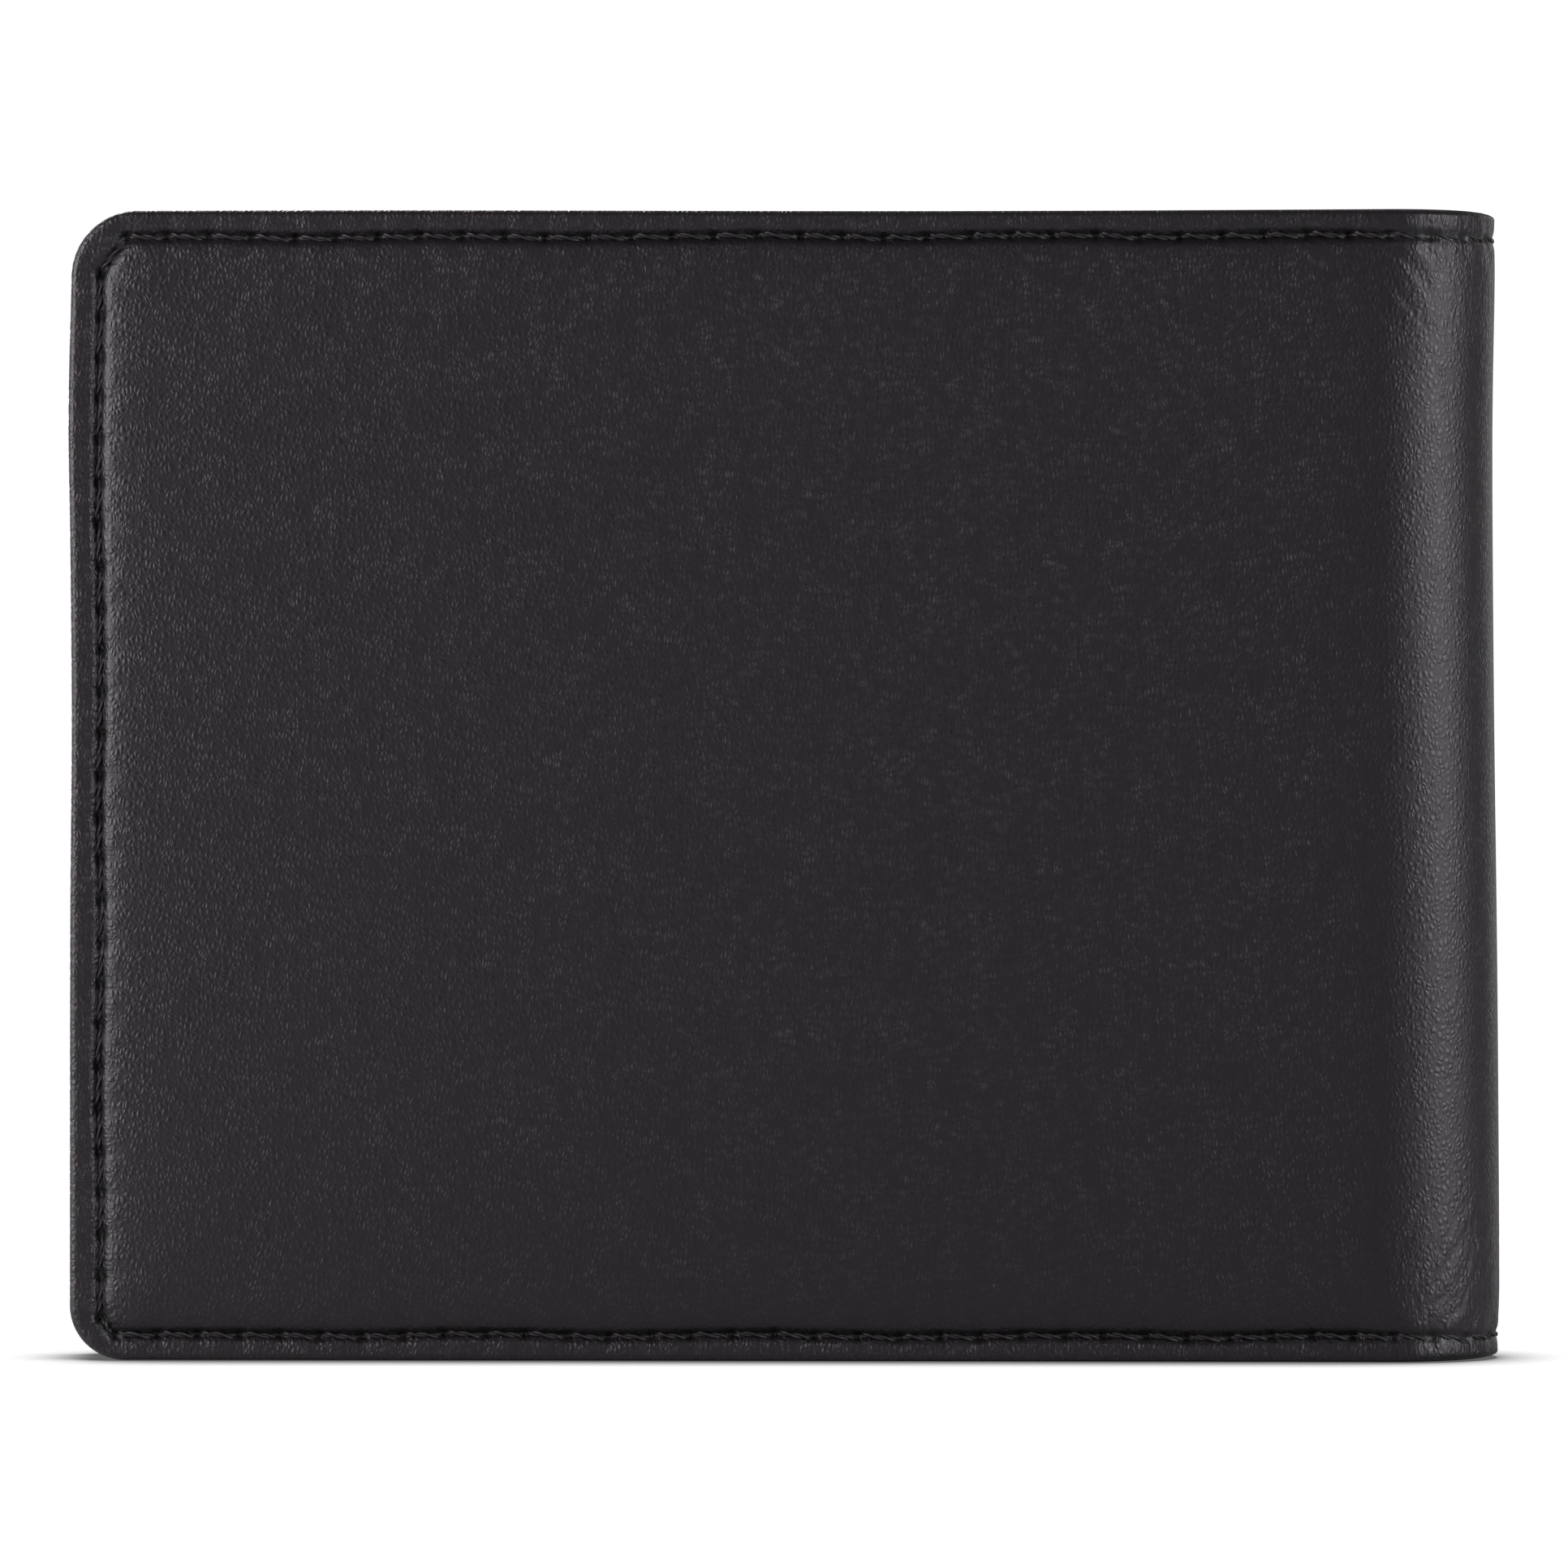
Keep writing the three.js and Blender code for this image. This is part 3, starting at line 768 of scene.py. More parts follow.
class Nodes:
    """A material's node tree, with short ways to add nodes and join them."""

    def __init__(self, name):
        self.material = bpy.data.materials.new(name)
        self.material.use_nodes = True
        self.tree = self.material.node_tree
        self.tree.nodes.clear()
        self.output = self.add("ShaderNodeOutputMaterial")

    def add(self, kind, inputs=None, **settings):
        node = self.tree.nodes.new(kind)
        for key, value in settings.items():
            setattr(node, key, value)
        for key, value in (inputs or {}).items():
            socket = node.inputs[key]
            if isinstance(value, bpy.types.NodeSocket):
                self.tree.links.new(value, socket)
            else:
                socket.default_value = value
        return node

    def out(self, kind, inputs=None, output=0, **settings):
        """Adds a node and gives one of its outputs."""
        return self.add(kind, inputs, **settings).outputs[output]

    def math(self, operation, a, b=0.0, clamp=False):
        return self.out("ShaderNodeMath", {0: a, 1: b}, operation=operation, use_clamp=clamp)

    def ramp(self, value, low, high, start=0.0, end=1.0):
        inputs = {"Value": value, "From Min": low, "From Max": high, "To Min": start, "To Max": end}
        return self.out("ShaderNodeMapRange", inputs, interpolation_type="SMOOTHSTEP")

    def mix(self, share, a, b):
        node = self.add("ShaderNodeMix", data_type="RGBA")
        for i, value in ((0, share), (6, a), (7, b)):
            if isinstance(value, bpy.types.NodeSocket):
                self.tree.links.new(value, node.inputs[i])
            else:
                node.inputs[i].default_value = value
        return node.outputs[2]

    def flat_mm(self):
        """The piece's flat place, in millimetres."""
        uv = self.out("ShaderNodeUVMap", uv_map=UV_NAME)
        return self.out("ShaderNodeVectorMath", {0: uv, 1: (1000, 1000, 0)}, operation="MULTIPLY")

    def placed(self, vector, turn=0.0, scale=(1, 1, 1), move=(0, 0, 0)):
        inputs = {"Vector": vector, "Rotation": (0, 0, turn), "Scale": scale, "Location": move}
        return self.out("ShaderNodeMapping", inputs)

    def noise(self, vector, scale, detail=2.0, rough=0.5):
        inputs = {"Vector": vector, "Scale": scale, "Detail": detail, "Roughness": rough}
        return self.out("ShaderNodeTexNoise", inputs)

    def cells(self, vector, scale, feature="F1", output="Distance", randomness=1.0):
        inputs = {"Vector": vector, "Scale": scale, "Randomness": randomness}
        return self.add("ShaderNodeTexVoronoi", inputs, feature=feature).outputs[output]

    def bump(self, height, strength, distance):
        return self.out("ShaderNodeBump", {"Height": height, "Strength": strength, "Distance": distance})

    def finish(self, **inputs):
        """Ends the tree with a Principled shader. Its inputs are named with _ for a space."""
        shader = self.add("ShaderNodeBsdfPrincipled", {k.replace("_", " "): v for k, v in inputs.items()})
        self.tree.links.new(shader.outputs[0], self.output.inputs["Surface"])
        return self.material


def grain_height(n, place):
    """Soft pebbles of about 0.4 mm, longer upwards than across, with finer creasing between them."""
    swirl = n.add("ShaderNodeTexNoise", {"Vector": place, "Scale": 0.55, "Detail": 1.0}).outputs["Color"]
    bent = n.out("ShaderNodeVectorMath", {0: swirl, 1: (0.6, 0.6, 0)}, operation="MULTIPLY")
    moved = n.out("ShaderNodeVectorMath", {0: place, 1: bent}, operation="ADD")
    tall = n.placed(moved, turn=0.22, scale=(2.6, 1.85, 1))
    edge = n.cells(tall, 1.0, "DISTANCE_TO_EDGE")
    dome = n.ramp(edge, 0.0, 0.32)
    bead = n.ramp(n.cells(tall, 1.0), 0.55, 0.0)
    fine = n.noise(place, 4.5, 3.0, 0.6)
    total = n.math("MULTIPLY", dome, 0.5)
    total = n.math("ADD", total, n.math("MULTIPLY", bead, 0.5))
    return n.math("ADD", total, n.math("MULTIPLY", fine, 0.45))


def seam_creases(n, place):
    """Fine creases that run square to the seams and fade within a few millimetres of them."""
    parts = n.add("ShaderNodeSeparateXYZ", {0: place})
    away = n.math("ABSOLUTE", parts.outputs[0])
    height = parts.outputs[1]
    from_free = n.math("SUBTRACT", REACH, away)
    from_top = n.math("SUBTRACT", HEIGHT, height)
    by_free = n.ramp(from_free, 2.4, 7.5, 1.0, 0.0)
    by_top = n.ramp(n.math("MINIMUM", from_top, height), 2.0, 5.0, 1.0, 0.0)
    level = n.noise(n.placed(place, scale=(0.45, 2.4, 1)), 1.0, 2.0, 0.6)
    upright = n.noise(n.placed(place, scale=(2.2, 0.5, 1)), 1.0, 2.0, 0.6)
    total = n.math("MULTIPLY", n.math("MULTIPLY", level, by_free), 1.0)
    return n.math("ADD", total, n.math("MULTIPLY", upright, by_top))


def fold_creases(n, place):
    """Fine slanting creases where the fold meets the top and bottom seams, and short level ones between."""
    parts = n.add("ShaderNodeSeparateXYZ", {0: place})
    away = n.math("ABSOLUTE", parts.outputs[0])
    height = parts.outputs[1]
    mirrored = n.out("ShaderNodeCombineXYZ", {0: away, 1: height})
    bend = n.add("ShaderNodeTexNoise", {"Vector": mirrored, "Scale": 0.25, "Detail": 1.0}).outputs["Color"]
    bend = n.out("ShaderNodeVectorMath", {0: bend, 1: (2, 2, 0)}, operation="MULTIPLY")
    mirrored = n.out("ShaderNodeVectorMath", {0: mirrored, 1: bend}, operation="ADD")
    on_fold = n.ramp(away, 5.0, ARC + 5, 1.0, 0.0)
    low = n.math("MULTIPLY", n.ramp(height, 6.0, 20.0, 1.0, 0.0), on_fold)
    high = n.math("MULTIPLY", n.ramp(height, HEIGHT - 16, HEIGHT - 5, 0.0, 1.0), on_fold)
    up = n.noise(n.placed(mirrored, turn=0.85, scale=(1.9, 0.4, 1)), 1.0, 2.0, 0.6)
    down = n.noise(n.placed(mirrored, turn=-0.8, scale=(1.9, 0.4, 1)), 1.0, 2.0, 0.6)
    total = n.math("MULTIPLY", up, low)
    return n.math("ADD", total, n.math("MULTIPLY", down, high))


def cover_leather():
    """Black nappa: pebbled and creased by the seams and the fold, with painted shade darkening it between the
    pebbles and down in the stitching.
    """
    n = Nodes("cover_leather")
    place = n.flat_mm()
    patch = n.noise(place, 0.12, 2.0)
    base = n.mix(n.ramp(patch, 0.35, 0.65), (0.0105, 0.0072, 0.0092, 1), (0.0082, 0.0066, 0.0082, 1))
    grain = grain_height(n, place)
    # Darker between the pebbles: painted shade in the grain's hollows, which leaves the pebble tops lighter.
    base = n.mix(n.ramp(grain, 0.2, 0.75), (0.004, 0.0036, 0.004, 1), base)
    # Painted shade: the leather goes near black down in the seam's grooves and needle holes.
    painted_seam_shade = n.add("ShaderNodeAttribute", attribute_name="painted_seam_shade").outputs["Fac"]
    base = n.mix(painted_seam_shade, base, (0.0012, 0.0011, 0.0012, 1))
    patchy = n.ramp(n.noise(place, 0.25, 1.0), 0.3, 0.7, 0.8, 1.0)
    away = n.math("ABSOLUTE", n.add("ShaderNodeSeparateXYZ", {0: place}).outputs[0])
    smoothed = n.ramp(away, ARC - 3, ARC + 6, 0.6, 1.0)
    height = n.math("MULTIPLY", grain, n.math("MULTIPLY", patchy, smoothed))
    height = n.math("ADD", height, n.math("MULTIPLY", seam_creases(n, place), 1.3))
    height = n.math("ADD", height, n.math("MULTIPLY", fold_creases(n, place), 2.0))
    bump = n.bump(height, 0.42, 0.00013)
    rough = n.ramp(grain, 0.1, 0.9, 0.5, 0.37)
    return n.finish(Base_Color=base, Roughness=rough, Normal=bump)


def inner_leather():
    """The same leather, thinner and duller."""
    n = Nodes("inner_leather")
    place = n.flat_mm()
    patch = n.noise(place, 0.15, 2.0)
    base = n.mix(n.ramp(patch, 0.35, 0.65), (0.0165, 0.0145, 0.016, 1), (0.013, 0.0125, 0.0135, 1))
    grain = grain_height(n, place)
    # Darker between the pebbles: painted shade in the grain's hollows, which leaves the pebble tops lighter.
    base = n.mix(n.ramp(grain, 0.2, 0.75), (0.008, 0.0075, 0.008, 1), base)
    bump = n.bump(grain, 0.6, 0.00009)
    rough = n.ramp(grain, 0.1, 0.9, 0.58, 0.44)
    return n.finish(Base_Color=base, Roughness=rough, Normal=bump)


def lining_fabric():
    """A fine twill: ribs at 60 degrees, broken by the crossing yarns."""
    n = Nodes("lining_fabric")
    place = n.flat_mm()
    rib = n.add(
        "ShaderNodeTexWave",
        {"Vector": n.placed(place, turn=1.05), "Scale": 0.9, "Distortion": 0.4, "Detail": 1.0, "Detail Scale": 3.0},
    ).outputs["Fac"]
    yarn = n.add("ShaderNodeTexWave", {"Vector": place, "Scale": 1.3, "Distortion": 0.2}).outputs["Fac"]
    weave = n.math("ADD", n.math("MULTIPLY", rib, 0.7), n.math("MULTIPLY", yarn, 0.3))
    base = n.mix(weave, (0.006, 0.006, 0.0065, 1), (0.022, 0.022, 0.024, 1))
    bump = n.bump(weave, 0.7, 0.00008)
    return n.finish(Base_Color=base, Roughness=0.8, Normal=bump, Sheen_Weight=0.25, Sheen_Roughness=0.5)


def sewing_thread():
    """Waxed polyester: fine filaments that run round each ply."""
    n = Nodes("sewing_thread")
    place = n.flat_mm()
    filaments = n.noise(n.placed(place, turn=0.6, scale=(1.5, 14, 1)), 1.0, 2.0)
    fuzz = n.noise(place, 6.0, 3.0, 0.7)
    # Lighter along the raised filaments: painted highlight.
    base = n.mix(n.ramp(filaments, 0.35, 0.7), (0.003, 0.003, 0.0033, 1), (0.02, 0.0195, 0.02, 1))
    height = n.math("ADD", filaments, n.math("MULTIPLY", fuzz, 0.5))
    bump = n.bump(height, 0.9, 0.00006)
    rough = n.ramp(fuzz, 0.3, 0.7, 0.38, 0.6)
    return n.finish(Base_Color=base, Roughness=rough, Normal=bump)


def padding_foam():
    """Fine open pores."""
    n = Nodes("padding_foam")
    place = n.flat_mm()
    pores = n.cells(place, 2.2)
    # Darker in the middle of each pore: painted shade down in the pits.
    base = n.mix(n.ramp(pores, 0.1, 0.6), (0.05, 0.05, 0.054, 1), (0.09, 0.09, 0.095, 1))
    bump = n.bump(pores, 0.6, 0.0001)
    return n.finish(Base_Color=base, Roughness=0.95, Normal=bump)


def stiffener_board():
    """Pressed fibres that run up the board."""
    n = Nodes("stiffener_board")
    place = n.add("ShaderNodeTexCoord").outputs["Object"]
    fibres = n.noise(n.placed(place, scale=(900, 900, 200)), 1.0, 3.0, 0.6)
    base = n.mix(n.ramp(fibres, 0.3, 0.7), (0.1, 0.075, 0.05, 1), (0.17, 0.13, 0.09, 1))
    bump = n.bump(fibres, 0.4, 0.00005)
    return n.finish(Base_Color=base, Roughness=0.9, Normal=bump)


def clear_film():
    """Clear film with a few soft smears."""
    n = Nodes("clear_film")
    place = n.flat_mm()
    smear = n.noise(place, 0.2, 3.0, 0.6)
    rough = n.ramp(smear, 0.3, 0.7, 0.05, 0.16)
    colour = n.mix(n.ramp(smear, 0.3, 0.7), (0.05, 0.055, 0.06, 1), (0.08, 0.085, 0.09, 1))
    return n.finish(Base_Color=colour, Roughness=rough, Specular_IOR_Level=1.0, Alpha=0.2)


COVER = cover_leather()
INNER = inner_leather()
FABRIC = lining_fabric()
THREAD = sewing_thread()
FOAM = padding_foam()
BOARD = stiffener_board()
CLEAR = clear_film()

# ---------------------------------------------------------------- the outer leather

for side in SIGN:
    piece = cover_half(side, COVER)
    turned = [f"{side}_turned_edge_bottom", f"{side}_turned_edge_side"]
    settle(piece, f"{side}_half", "cover_leather", f"{side}_cover", *turned)

for zone in FOLD_ZONES:
    name, start, end, _ = zone
    piece = fold_leather(f"cover_leather_{name}", start, end, COVER)
    if name in STRIP_NUMBER:
        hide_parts(f"fold_leather_{STRIP_NUMBER[name]}")
    follow(piece, zone, 1.0)

# ---------------------------------------------------------------- padding and board

for side, sign in SIGN.items():
    start, end, low, high = ARC + FOLD_MARGIN, REACH - BOARD_MARGIN, BOARD_MARGIN, HEIGHT - BOARD_MARGIN
    away, z = panel_grid(start, end, low, high, 2.5, 1.5, 1.5)
    edge = np.minimum(np.minimum(away - start, end - away), np.minimum(z - low, high - z))
    crown = 0.2 * np.exp(-edge / 0.8)
    piece = layer(f"padding_{side}", away, z, PADDING[0] + crown, PADDING[1], FOAM, sign)
    settle(piece, f"{side}_half", "padding_foam", f"{side}_cover_padding")
    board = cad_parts[f"{side}_cover_board"].data
    board.materials.clear()
    board.materials.append(BOARD)

# ---------------------------------------------------------------- lining, wall and backing

LINING_INSET = 1.4
WALL_INSET = 0.6
BACKING_INSET = 0.9

# The middle of the fold's inner wall has edges that tuck in under its neighbours and cover the crease between
# them when the wallet is open.
TUCK = 1.0
TUCK_GAP = 0.05
TUCK_DEPTHS = (2.62, 3.0)
TUCK_HEIGHTS = (7.3, 82.5)


def fold_layer(name, zone, low, high, depths, material):
    """A layer's length round one zone of the fold."""
    _, start, end, bodies = zone
    sign = -1 if start + end < 0 else 1
    columns = np.sort(sign * spaced(start, end, 0.4))
    tucked = material is INNER and bodies == ["fold_middle"]
    if tucked:
        columns[0] += TUCK_GAP
        columns[-1] -= TUCK_GAP
        columns = np.concatenate([[start - TUCK, start], columns, [end, end + TUCK]])
    rows = np.concatenate([low + FINE, spaced(low + 4.4, high - 4.4, 1.1), high - FINE[::-1]])
    away, z = np.meshgrid(columns, rows, indexing="ij")
    turned = turned_top(z, high) if material is INNER else np.zeros(z.shape)
    outer, inner = np.full(z.shape, depths[0]), depths[1] + np.minimum(turned, 0.05)
    if tucked:
        sides = [0, 1, -2, -1]
        z[sides] = np.interp(z[sides], [low, high], TUCK_HEIGHTS)
        outer[sides], inner[sides] = TUCK_DEPTHS
    piece = layer(name, away, z, outer, inner, material, sign, bulge=0.0)
    follow(piece, zone, depths[0])
    return piece


fold_linings = {"front": [], "back": []}
for zone in FOLD_ZONES:
    name, start, end, _ = zone
    piece = fold_layer(f"bill_lining_{name}", zone, LINING_INSET, HEIGHT - LINING_INSET, LINING, FABRIC)
    fold_linings["front" if start < 0 else "back"].append(piece)
    wall = fold_layer(f"bill_wall_{name}", zone, WALL_INSET, WALL_TOP, WALL, INNER)
    if name in STRIP_NUMBER:
        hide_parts(f"fold_lining_{STRIP_NUMBER[name]}")
        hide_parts(f"fold_bill_wall_{STRIP_NUMBER[name]}")

for side, sign in SIGN.items():
    away, z = panel_grid(HALF_START, REACH - LINING_INSET, LINING_INSET, HEIGHT - LINING_INSET, 1.6, 3.6, 4.5)
    piece = layer(f"bill_lining_{side}", away, z, LINING[0], LINING[1], FABRIC, sign)
    settle(piece, f"{side}_half", "lining_fabric", f"{side}_bill_lining")

    end = REACH - WALL_INSET
    away, z = panel_grid(HALF_START, end, WALL_INSET, WALL_TOP, 1.1, LOW_CORNER_R - WALL_INSET, 2.0)
    turned = turned_top(z, WALL_TOP)
    outer = WALL[0] - np.minimum(turned, 0.03)
    piece = layer(f"bill_wall_{side}", away, z, outer, WALL[1] + np.minimum(turned, 0.05), INNER, sign)
    settle(piece, f"{side}_half", "inner_leather", f"{side}_bill_wall")

    start, end = ARC + POCKET_FOLD_EDGE, REACH - BACKING_INSET
    away, z = panel_grid(start, end, BACKING_INSET, BACKING_TOP, 1.6, LOW_CORNER_R - POCKET_INSET, 0.8)
    piece = layer(f"pocket_backing_{side}", away, z, BACKING[0], BACKING[1], FABRIC, sign)
    size = ((end - start) * MM, (BACKING_TOP - BACKING_INSET) * MM)
    settle(piece, f"{side}_half", "lining_fabric", f"{side}_pocket_backing")

# ---------------------------------------------------------------- pockets

for place, top in CARD_TOPS.items():
    piece = pocket(f"card_pocket_{place}", "front", top, CARD_DEPTHS[place])
    settle(piece, "front_half", "inner_leather", f"front_card_pocket_{place}")

piece = pocket("card_pocket_behind_id", "back", ID_POCKET_TOP, REAR_POCKET)
settle(piece, "back_half", "inner_leather", "back_card_pocket")

WINDOW_MIDDLE = (POCKET_FOLD_EDGE + HALF_LENGTH - POCKET_INSET) / 2


def arc_points(centre, radius, start, end, count):
    """Points along an arc between two angles."""
    angles = np.linspace(start, end, count)
    return np.stack([centre[0] + radius * np.cos(angles), centre[1] + radius * np.sin(angles)], -1)


def id_frame_outlines():
    """The ID pocket's outline with its thumb notch, and its window, as flat places (from the fold line, z)."""
    low, far, near = POCKET_INSET, HALF_LENGTH - POCKET_INSET, POCKET_FOLD_EDGE
    r = LOW_CORNER_R - POCKET_INSET
    half = math.sqrt(THUMB_R**2 - THUMB_RISE**2)
    dip = math.atan2(-THUMB_RISE, half)
    quarter = math.pi / 2
    outline = np.concatenate(
        [
            [[near, low]],
            arc_points((far - r, low + r), r, -quarter, 0, 13),
            arc_points((far - 1, ID_FRAME_TOP - 1), 1, 0, quarter, 7),
            arc_points((WINDOW_MIDDLE, ID_FRAME_TOP + THUMB_RISE), THUMB_R, dip, -math.pi - dip, 33),
            [[near, ID_FRAME_TOP]],
        ]
    )
    wide = WINDOW_WIDTH / 2 - WINDOW_R
    corners = [
        (WINDOW_MIDDLE + wide, WINDOW_HIGH - WINDOW_R, 0),
        (WINDOW_MIDDLE - wide, WINDOW_HIGH - WINDOW_R, 1),
        (WINDOW_MIDDLE - wide, WINDOW_LOW + WINDOW_R, 2),
        (WINDOW_MIDDLE + wide, WINDOW_LOW + WINDOW_R, 3),
    ]
    window = np.concatenate(
        [arc_points((x, z), WINDOW_R, k * quarter, (k + 1) * quarter, 9) for x, z, k in corners]
    )
    return outline, window


def filled(name, outlines, depths, material, sign, round_edge):
    """A flat layer from outlines, the first the outside and the rest holes, with rounded edges."""
    curve = bpy.data.curves.new(name, "CURVE")
    curve.dimensions = "2D"
    curve.fill_mode = "BOTH"
    thick = depths[1] - depths[0]
    curve.extrude = thick / 2 - round_edge
    curve.bevel_depth = round_edge
    curve.bevel_resolution = 2
    curve.offset = -round_edge
    for points in outlines:
        spline = curve.splines.new("POLY")
        spline.points.add(len(points) - 1)
        for point, (x, y) in zip(spline.points, points):
            point.co = (x, y, 0, 1)
        spline.use_cyclic_u = True
    maker = bpy.data.objects.new(name + "_curve", curve)
    bpy.context.scene.collection.objects.link(maker)
    bpy.context.view_layer.update()
    mesh = bpy.data.meshes.new_from_object(maker.evaluated_get(bpy.context.evaluated_depsgraph_get()))
    bpy.data.objects.remove(maker)
    bm = bmesh.new()
    bm.from_mesh(mesh)
    bmesh.ops.remove_doubles(bm, verts=bm.verts, dist=1e-4)
    bmesh.ops.dissolve_degenerate(bm, edges=bm.edges, dist=1e-5)
    flat = np.array([v.co for v in bm.verts])
    faces = [[v.index for v in f.verts] for f in bm.faces]
    level = [i for i, f in enumerate(bm.faces) if abs(f.normal.z) > 0.999]
    bm.free()
    bpy.data.meshes.remove(mesh)
    depth = (depths[0] + depths[1]) / 2 + flat[:, 2]
    points = shell(sign * (ARC + flat[:, 0]), depth, flat[:, 1])
    uv = np.stack([sign * (ARC + flat[:, 0]), flat[:, 1]], -1)
    return make_mesh(name, points, faces, uv, material, flat=level)


piece = filled("id_window_frame_leather", id_frame_outlines(), FRONT_POCKET, INNER, 1, 0.17)
settle(piece, "back_half", "inner_leather", "id_window_frame")

film_reach = WINDOW_WIDTH / 2 + FILM_OVERLAP
start, end = ARC + WINDOW_MIDDLE - film_reach, ARC + WINDOW_MIDDLE + film_reach
away, z = panel_grid(start, end, WINDOW_LOW - FILM_OVERLAP, WINDOW_HIGH + FILM_OVERLAP, 2.0, 1.5, 1.5)
ripple = 0.03 * soft_noise(away, z, 9, 41)
piece = layer("id_film", away, z, FILM[0] + ripple, FILM[1] + ripple - 0.06, CLEAR, 1)
settle(piece, "back_half", "clear_film", "id_window_film")

# ---------------------------------------------------------------- stitches


def zone_of(u):
    """The zone of the fold, or the half, that this length along the leather falls in."""
    for zone in FOLD_ZONES:
        low, high = sorted(zone[1:3])
        if low <= u <= high:
            return zone[0]
    return "front" if u < 0 else "back"


STEPS_INSIDE = {
    "front": [(50, FRONT_POCKET[1]), (62, MIDDLE_POCKET[1]), (74, REAR_POCKET[1]), (WALL_TOP, WALL[1])],
    "back": [(ID_FRAME_TOP, FRONT_POCKET[1]), (ID_POCKET_TOP, REAR_POCKET[1]), (WALL_TOP, WALL[1])],
}


def inside_face(side, away, z):
    """The depth of the innermost face at a flat place on the seam."""
    if away < ARC + POCKET_FOLD_EDGE:
        return WALL[1] if z < WALL_TOP else TURNED_FACE
    for top, depth in STEPS_INSIDE[side]:
        if z < top:
            return depth
    return TURNED_FACE


def outside_run(side, start, end):
    """One stitch on the outer leather, as lay_thread() takes it."""
    sign = SIGN[side]
    return [sign * start[0], start[1], sign * end[0], end[1], seam_face(*start), seam_face(*end), 1]


def inside_run(side, start, end):
    """One stitch on the innermost face."""
    sign = SIGN[side]
    depths = [inside_face(side, *start) + STITCH_LIE, inside_face(side, *end) + STITCH_LIE]
    return [sign * start[0], start[1], sign * end[0], end[1], *depths, -1]


stitches = {name: [] for name in ["front", "back"] + [zone[0] for zone in FOLD_ZONES]}
for side, sign in SIGN.items():
    for start, end in slanted(SEAM_HOLES[side], side):
        owner = zone_of(sign * (start[0] + end[0]) / 2)
        stitches[owner] += [outside_run(side, start, end), inside_run(side, start, end)]
    away = ARC + POCKET_SEAM
    beside_fold = seam_holes([(away, LOW_SEAM + 1.5), (away, BACKING_TOP - 3)], 17, wander=0.03)
    stitches[side] += [inside_run(side, start, end) for start, end in slanted(beside_fold, side)]

for side in SIGN:
    handed = 1 if side == "front" else -1
    piece = lay_thread(f"stitches_{side}", stitches[side], THREAD, handed)
    threads = [f"{side}_{kind}_thread" for kind in ("needle", "bobbin", "pocket")]
    settle(piece, f"{side}_half", "sewing_thread", *threads)
for zone in FOLD_ZONES:
    if not stitches[zone[0]]:
        continue
    handed = 1 if zone[1] + zone[2] <= 0 else -1
    piece = lay_thread(f"stitches_{zone[0]}", stitches[zone[0]], THREAD, handed)
    follow(piece, zone, 1.0)

# ---------------------------------------------------------------- studio


def add_light(name, place, aim, size, power, colour):
    """A softbox at place that faces aim."""
    data = bpy.data.lights.new(name, "AREA")
    data.shape = "RECTANGLE"
    data.size, data.size_y = size
    data.energy = power
    data.color = colour
    lamp = bpy.data.objects.new(name, data)
    bpy.context.scene.collection.objects.link(lamp)
    lamp.location = place
    lamp.rotation_mode = "QUATERNION"
    lamp.rotation_quaternion = (aim - place).to_track_quat("-Z", "Y")


def floor_material():
    """Plain pale floor, glowing evenly bright to the camera, with a painted contact shadow right beside what stands
    on it.
    """
    n = Nodes("floor")
    # Painted contact shadow: the glow dims where ambient occlusion finds the wallet close by.
    near = n.add("ShaderNodeAmbientOcclusion", {"Distance": 0.009}, samples=16).outputs["AO"]
    strength = n.ramp(near, 0.35, 0.98, 0.12, 1.05)
    glow = n.add("ShaderNodeEmission", {"Color": (1, 1, 1, 1), "Strength": strength})
    dull = n.add("ShaderNodeBsdfDiffuse", {"Color": (0.55, 0.55, 0.55, 1)})
    seen = n.add("ShaderNodeLightPath").outputs["Is Camera Ray"]
    both = n.add("ShaderNodeMixShader", {0: seen, 1: dull.outputs[0], 2: glow.outputs[0]})
    n.tree.links.new(both.outputs[0], n.output.inputs["Surface"])
    return n.material


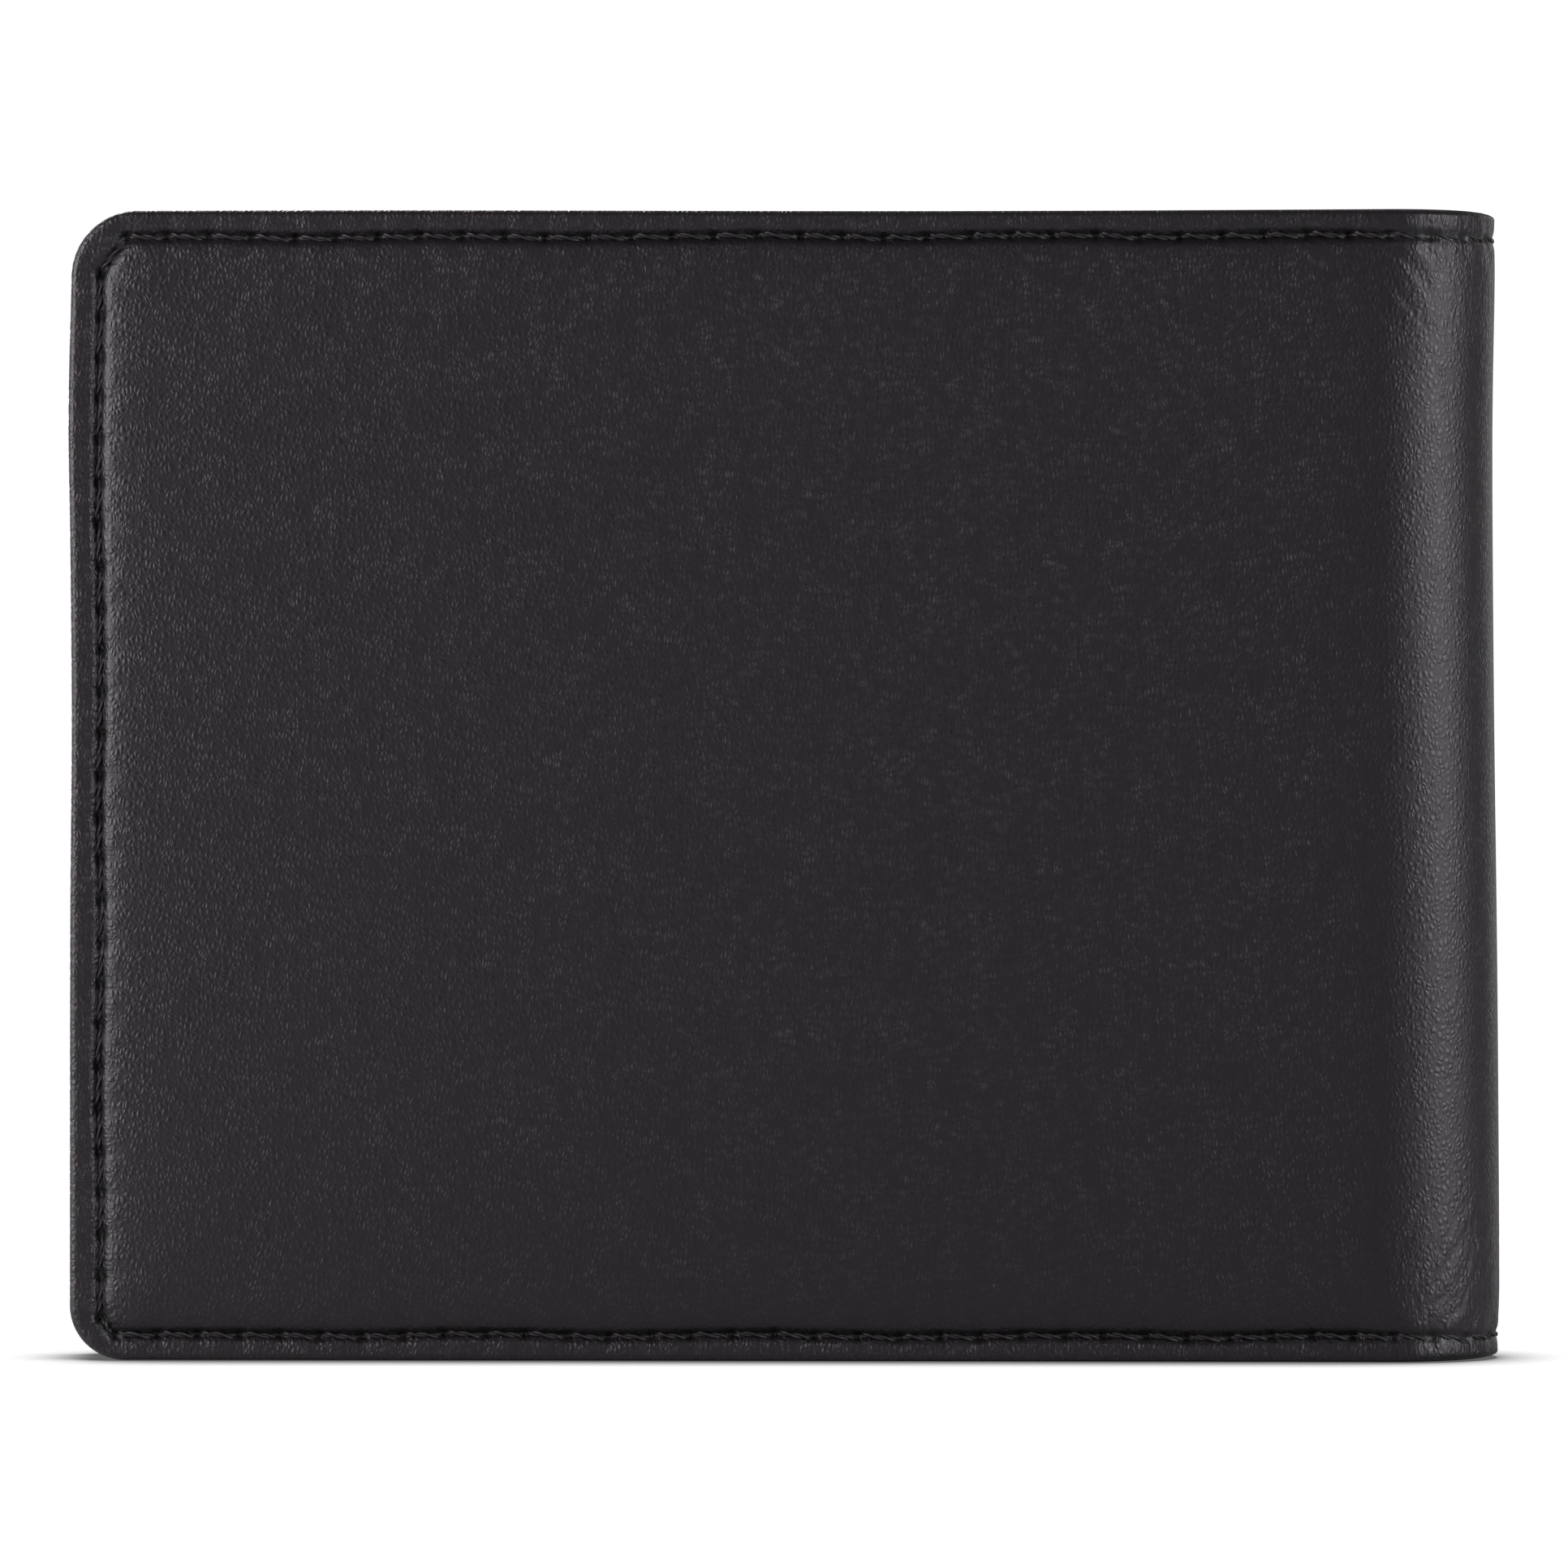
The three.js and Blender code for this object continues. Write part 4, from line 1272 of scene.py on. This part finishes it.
def set_world():
    """White behind the wallet to the camera, and dim to everything else."""
    world = bpy.data.worlds.new("studio")
    bpy.context.scene.world = world
    world.use_nodes = True
    tree = world.node_tree
    tree.nodes.clear()
    output = tree.nodes.new("ShaderNodeOutputWorld")
    seen = tree.nodes.new("ShaderNodeLightPath")
    mix = tree.nodes.new("ShaderNodeMixShader")
    dim = tree.nodes.new("ShaderNodeBackground")
    white = tree.nodes.new("ShaderNodeBackground")
    dim.inputs["Color"].default_value = (1, 0.93, 0.99, 1)
    dim.inputs["Strength"].default_value = 0.13
    white.inputs["Color"].default_value = (1, 1, 1, 1)
    white.inputs["Strength"].default_value = 1.05
    tree.links.new(seen.outputs["Is Camera Ray"], mix.inputs[0])
    tree.links.new(dim.outputs[0], mix.inputs[1])
    tree.links.new(white.outputs[0], mix.inputs[2])
    tree.links.new(mix.outputs[0], output.inputs["Surface"])


set_world()
bpy.ops.mesh.primitive_plane_add(size=6, location=(0, 0, 0))
floor = bpy.context.object
floor.name = "floor"
floor.data.materials.append(floor_material())
floor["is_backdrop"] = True

# Softboxes: azimuth from the camera's side (+ to the right), elevation, distance, size, power and colour.
LIGHTS = [
    ("left", -62, 10, 0.3, (0.14, 0.4), 1.05, (1, 0.9, 0.98)),
    ("far_left", -90, 5, 0.7, (0.3, 0.7), 4.5, (0.9, 0.95, 1)),
    ("right", 58, 8, 0.7, (0.3, 0.7), 4.9, (0.99, 0.95, 1)),
    ("far_right", 140, 5, 0.7, (0.3, 0.7), 0.7, (1, 0.98, 1)),
    ("behind", -160, 10, 0.7, (0.3, 0.7), 5.5, (1, 0.96, 1)),
]
middle = Vector((0, 0, HEIGHT / 2 * MM))
for name, azimuth, elevation, distance, size, power, colour in LIGHTS:
    azimuth, elevation = math.radians(azimuth), math.radians(elevation)
    level = distance * math.cos(elevation)
    offset = Vector((level * math.sin(azimuth), -level * math.cos(azimuth), distance * math.sin(elevation)))
    add_light(f"{name}_softbox", middle + offset, middle, size, power, colour)

FRAME_WIDTH = 0.1221  # how wide the view is at the front face
camera_data = bpy.data.cameras.new("camera")
camera_data.sensor_width = 36
camera_data.lens = 210
camera = bpy.data.objects.new("camera", camera_data)
bpy.context.scene.collection.objects.link(camera)
distance = camera_data.lens / camera_data.sensor_width * FRAME_WIDTH
camera.location = (0, cad_low.y - distance, middle.z + 0.00013)
camera.rotation_euler = (math.pi / 2, 0, 0)
bpy.context.scene.camera = camera
bpy.context.scene.view_settings.view_transform = "Standard"

low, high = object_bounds()
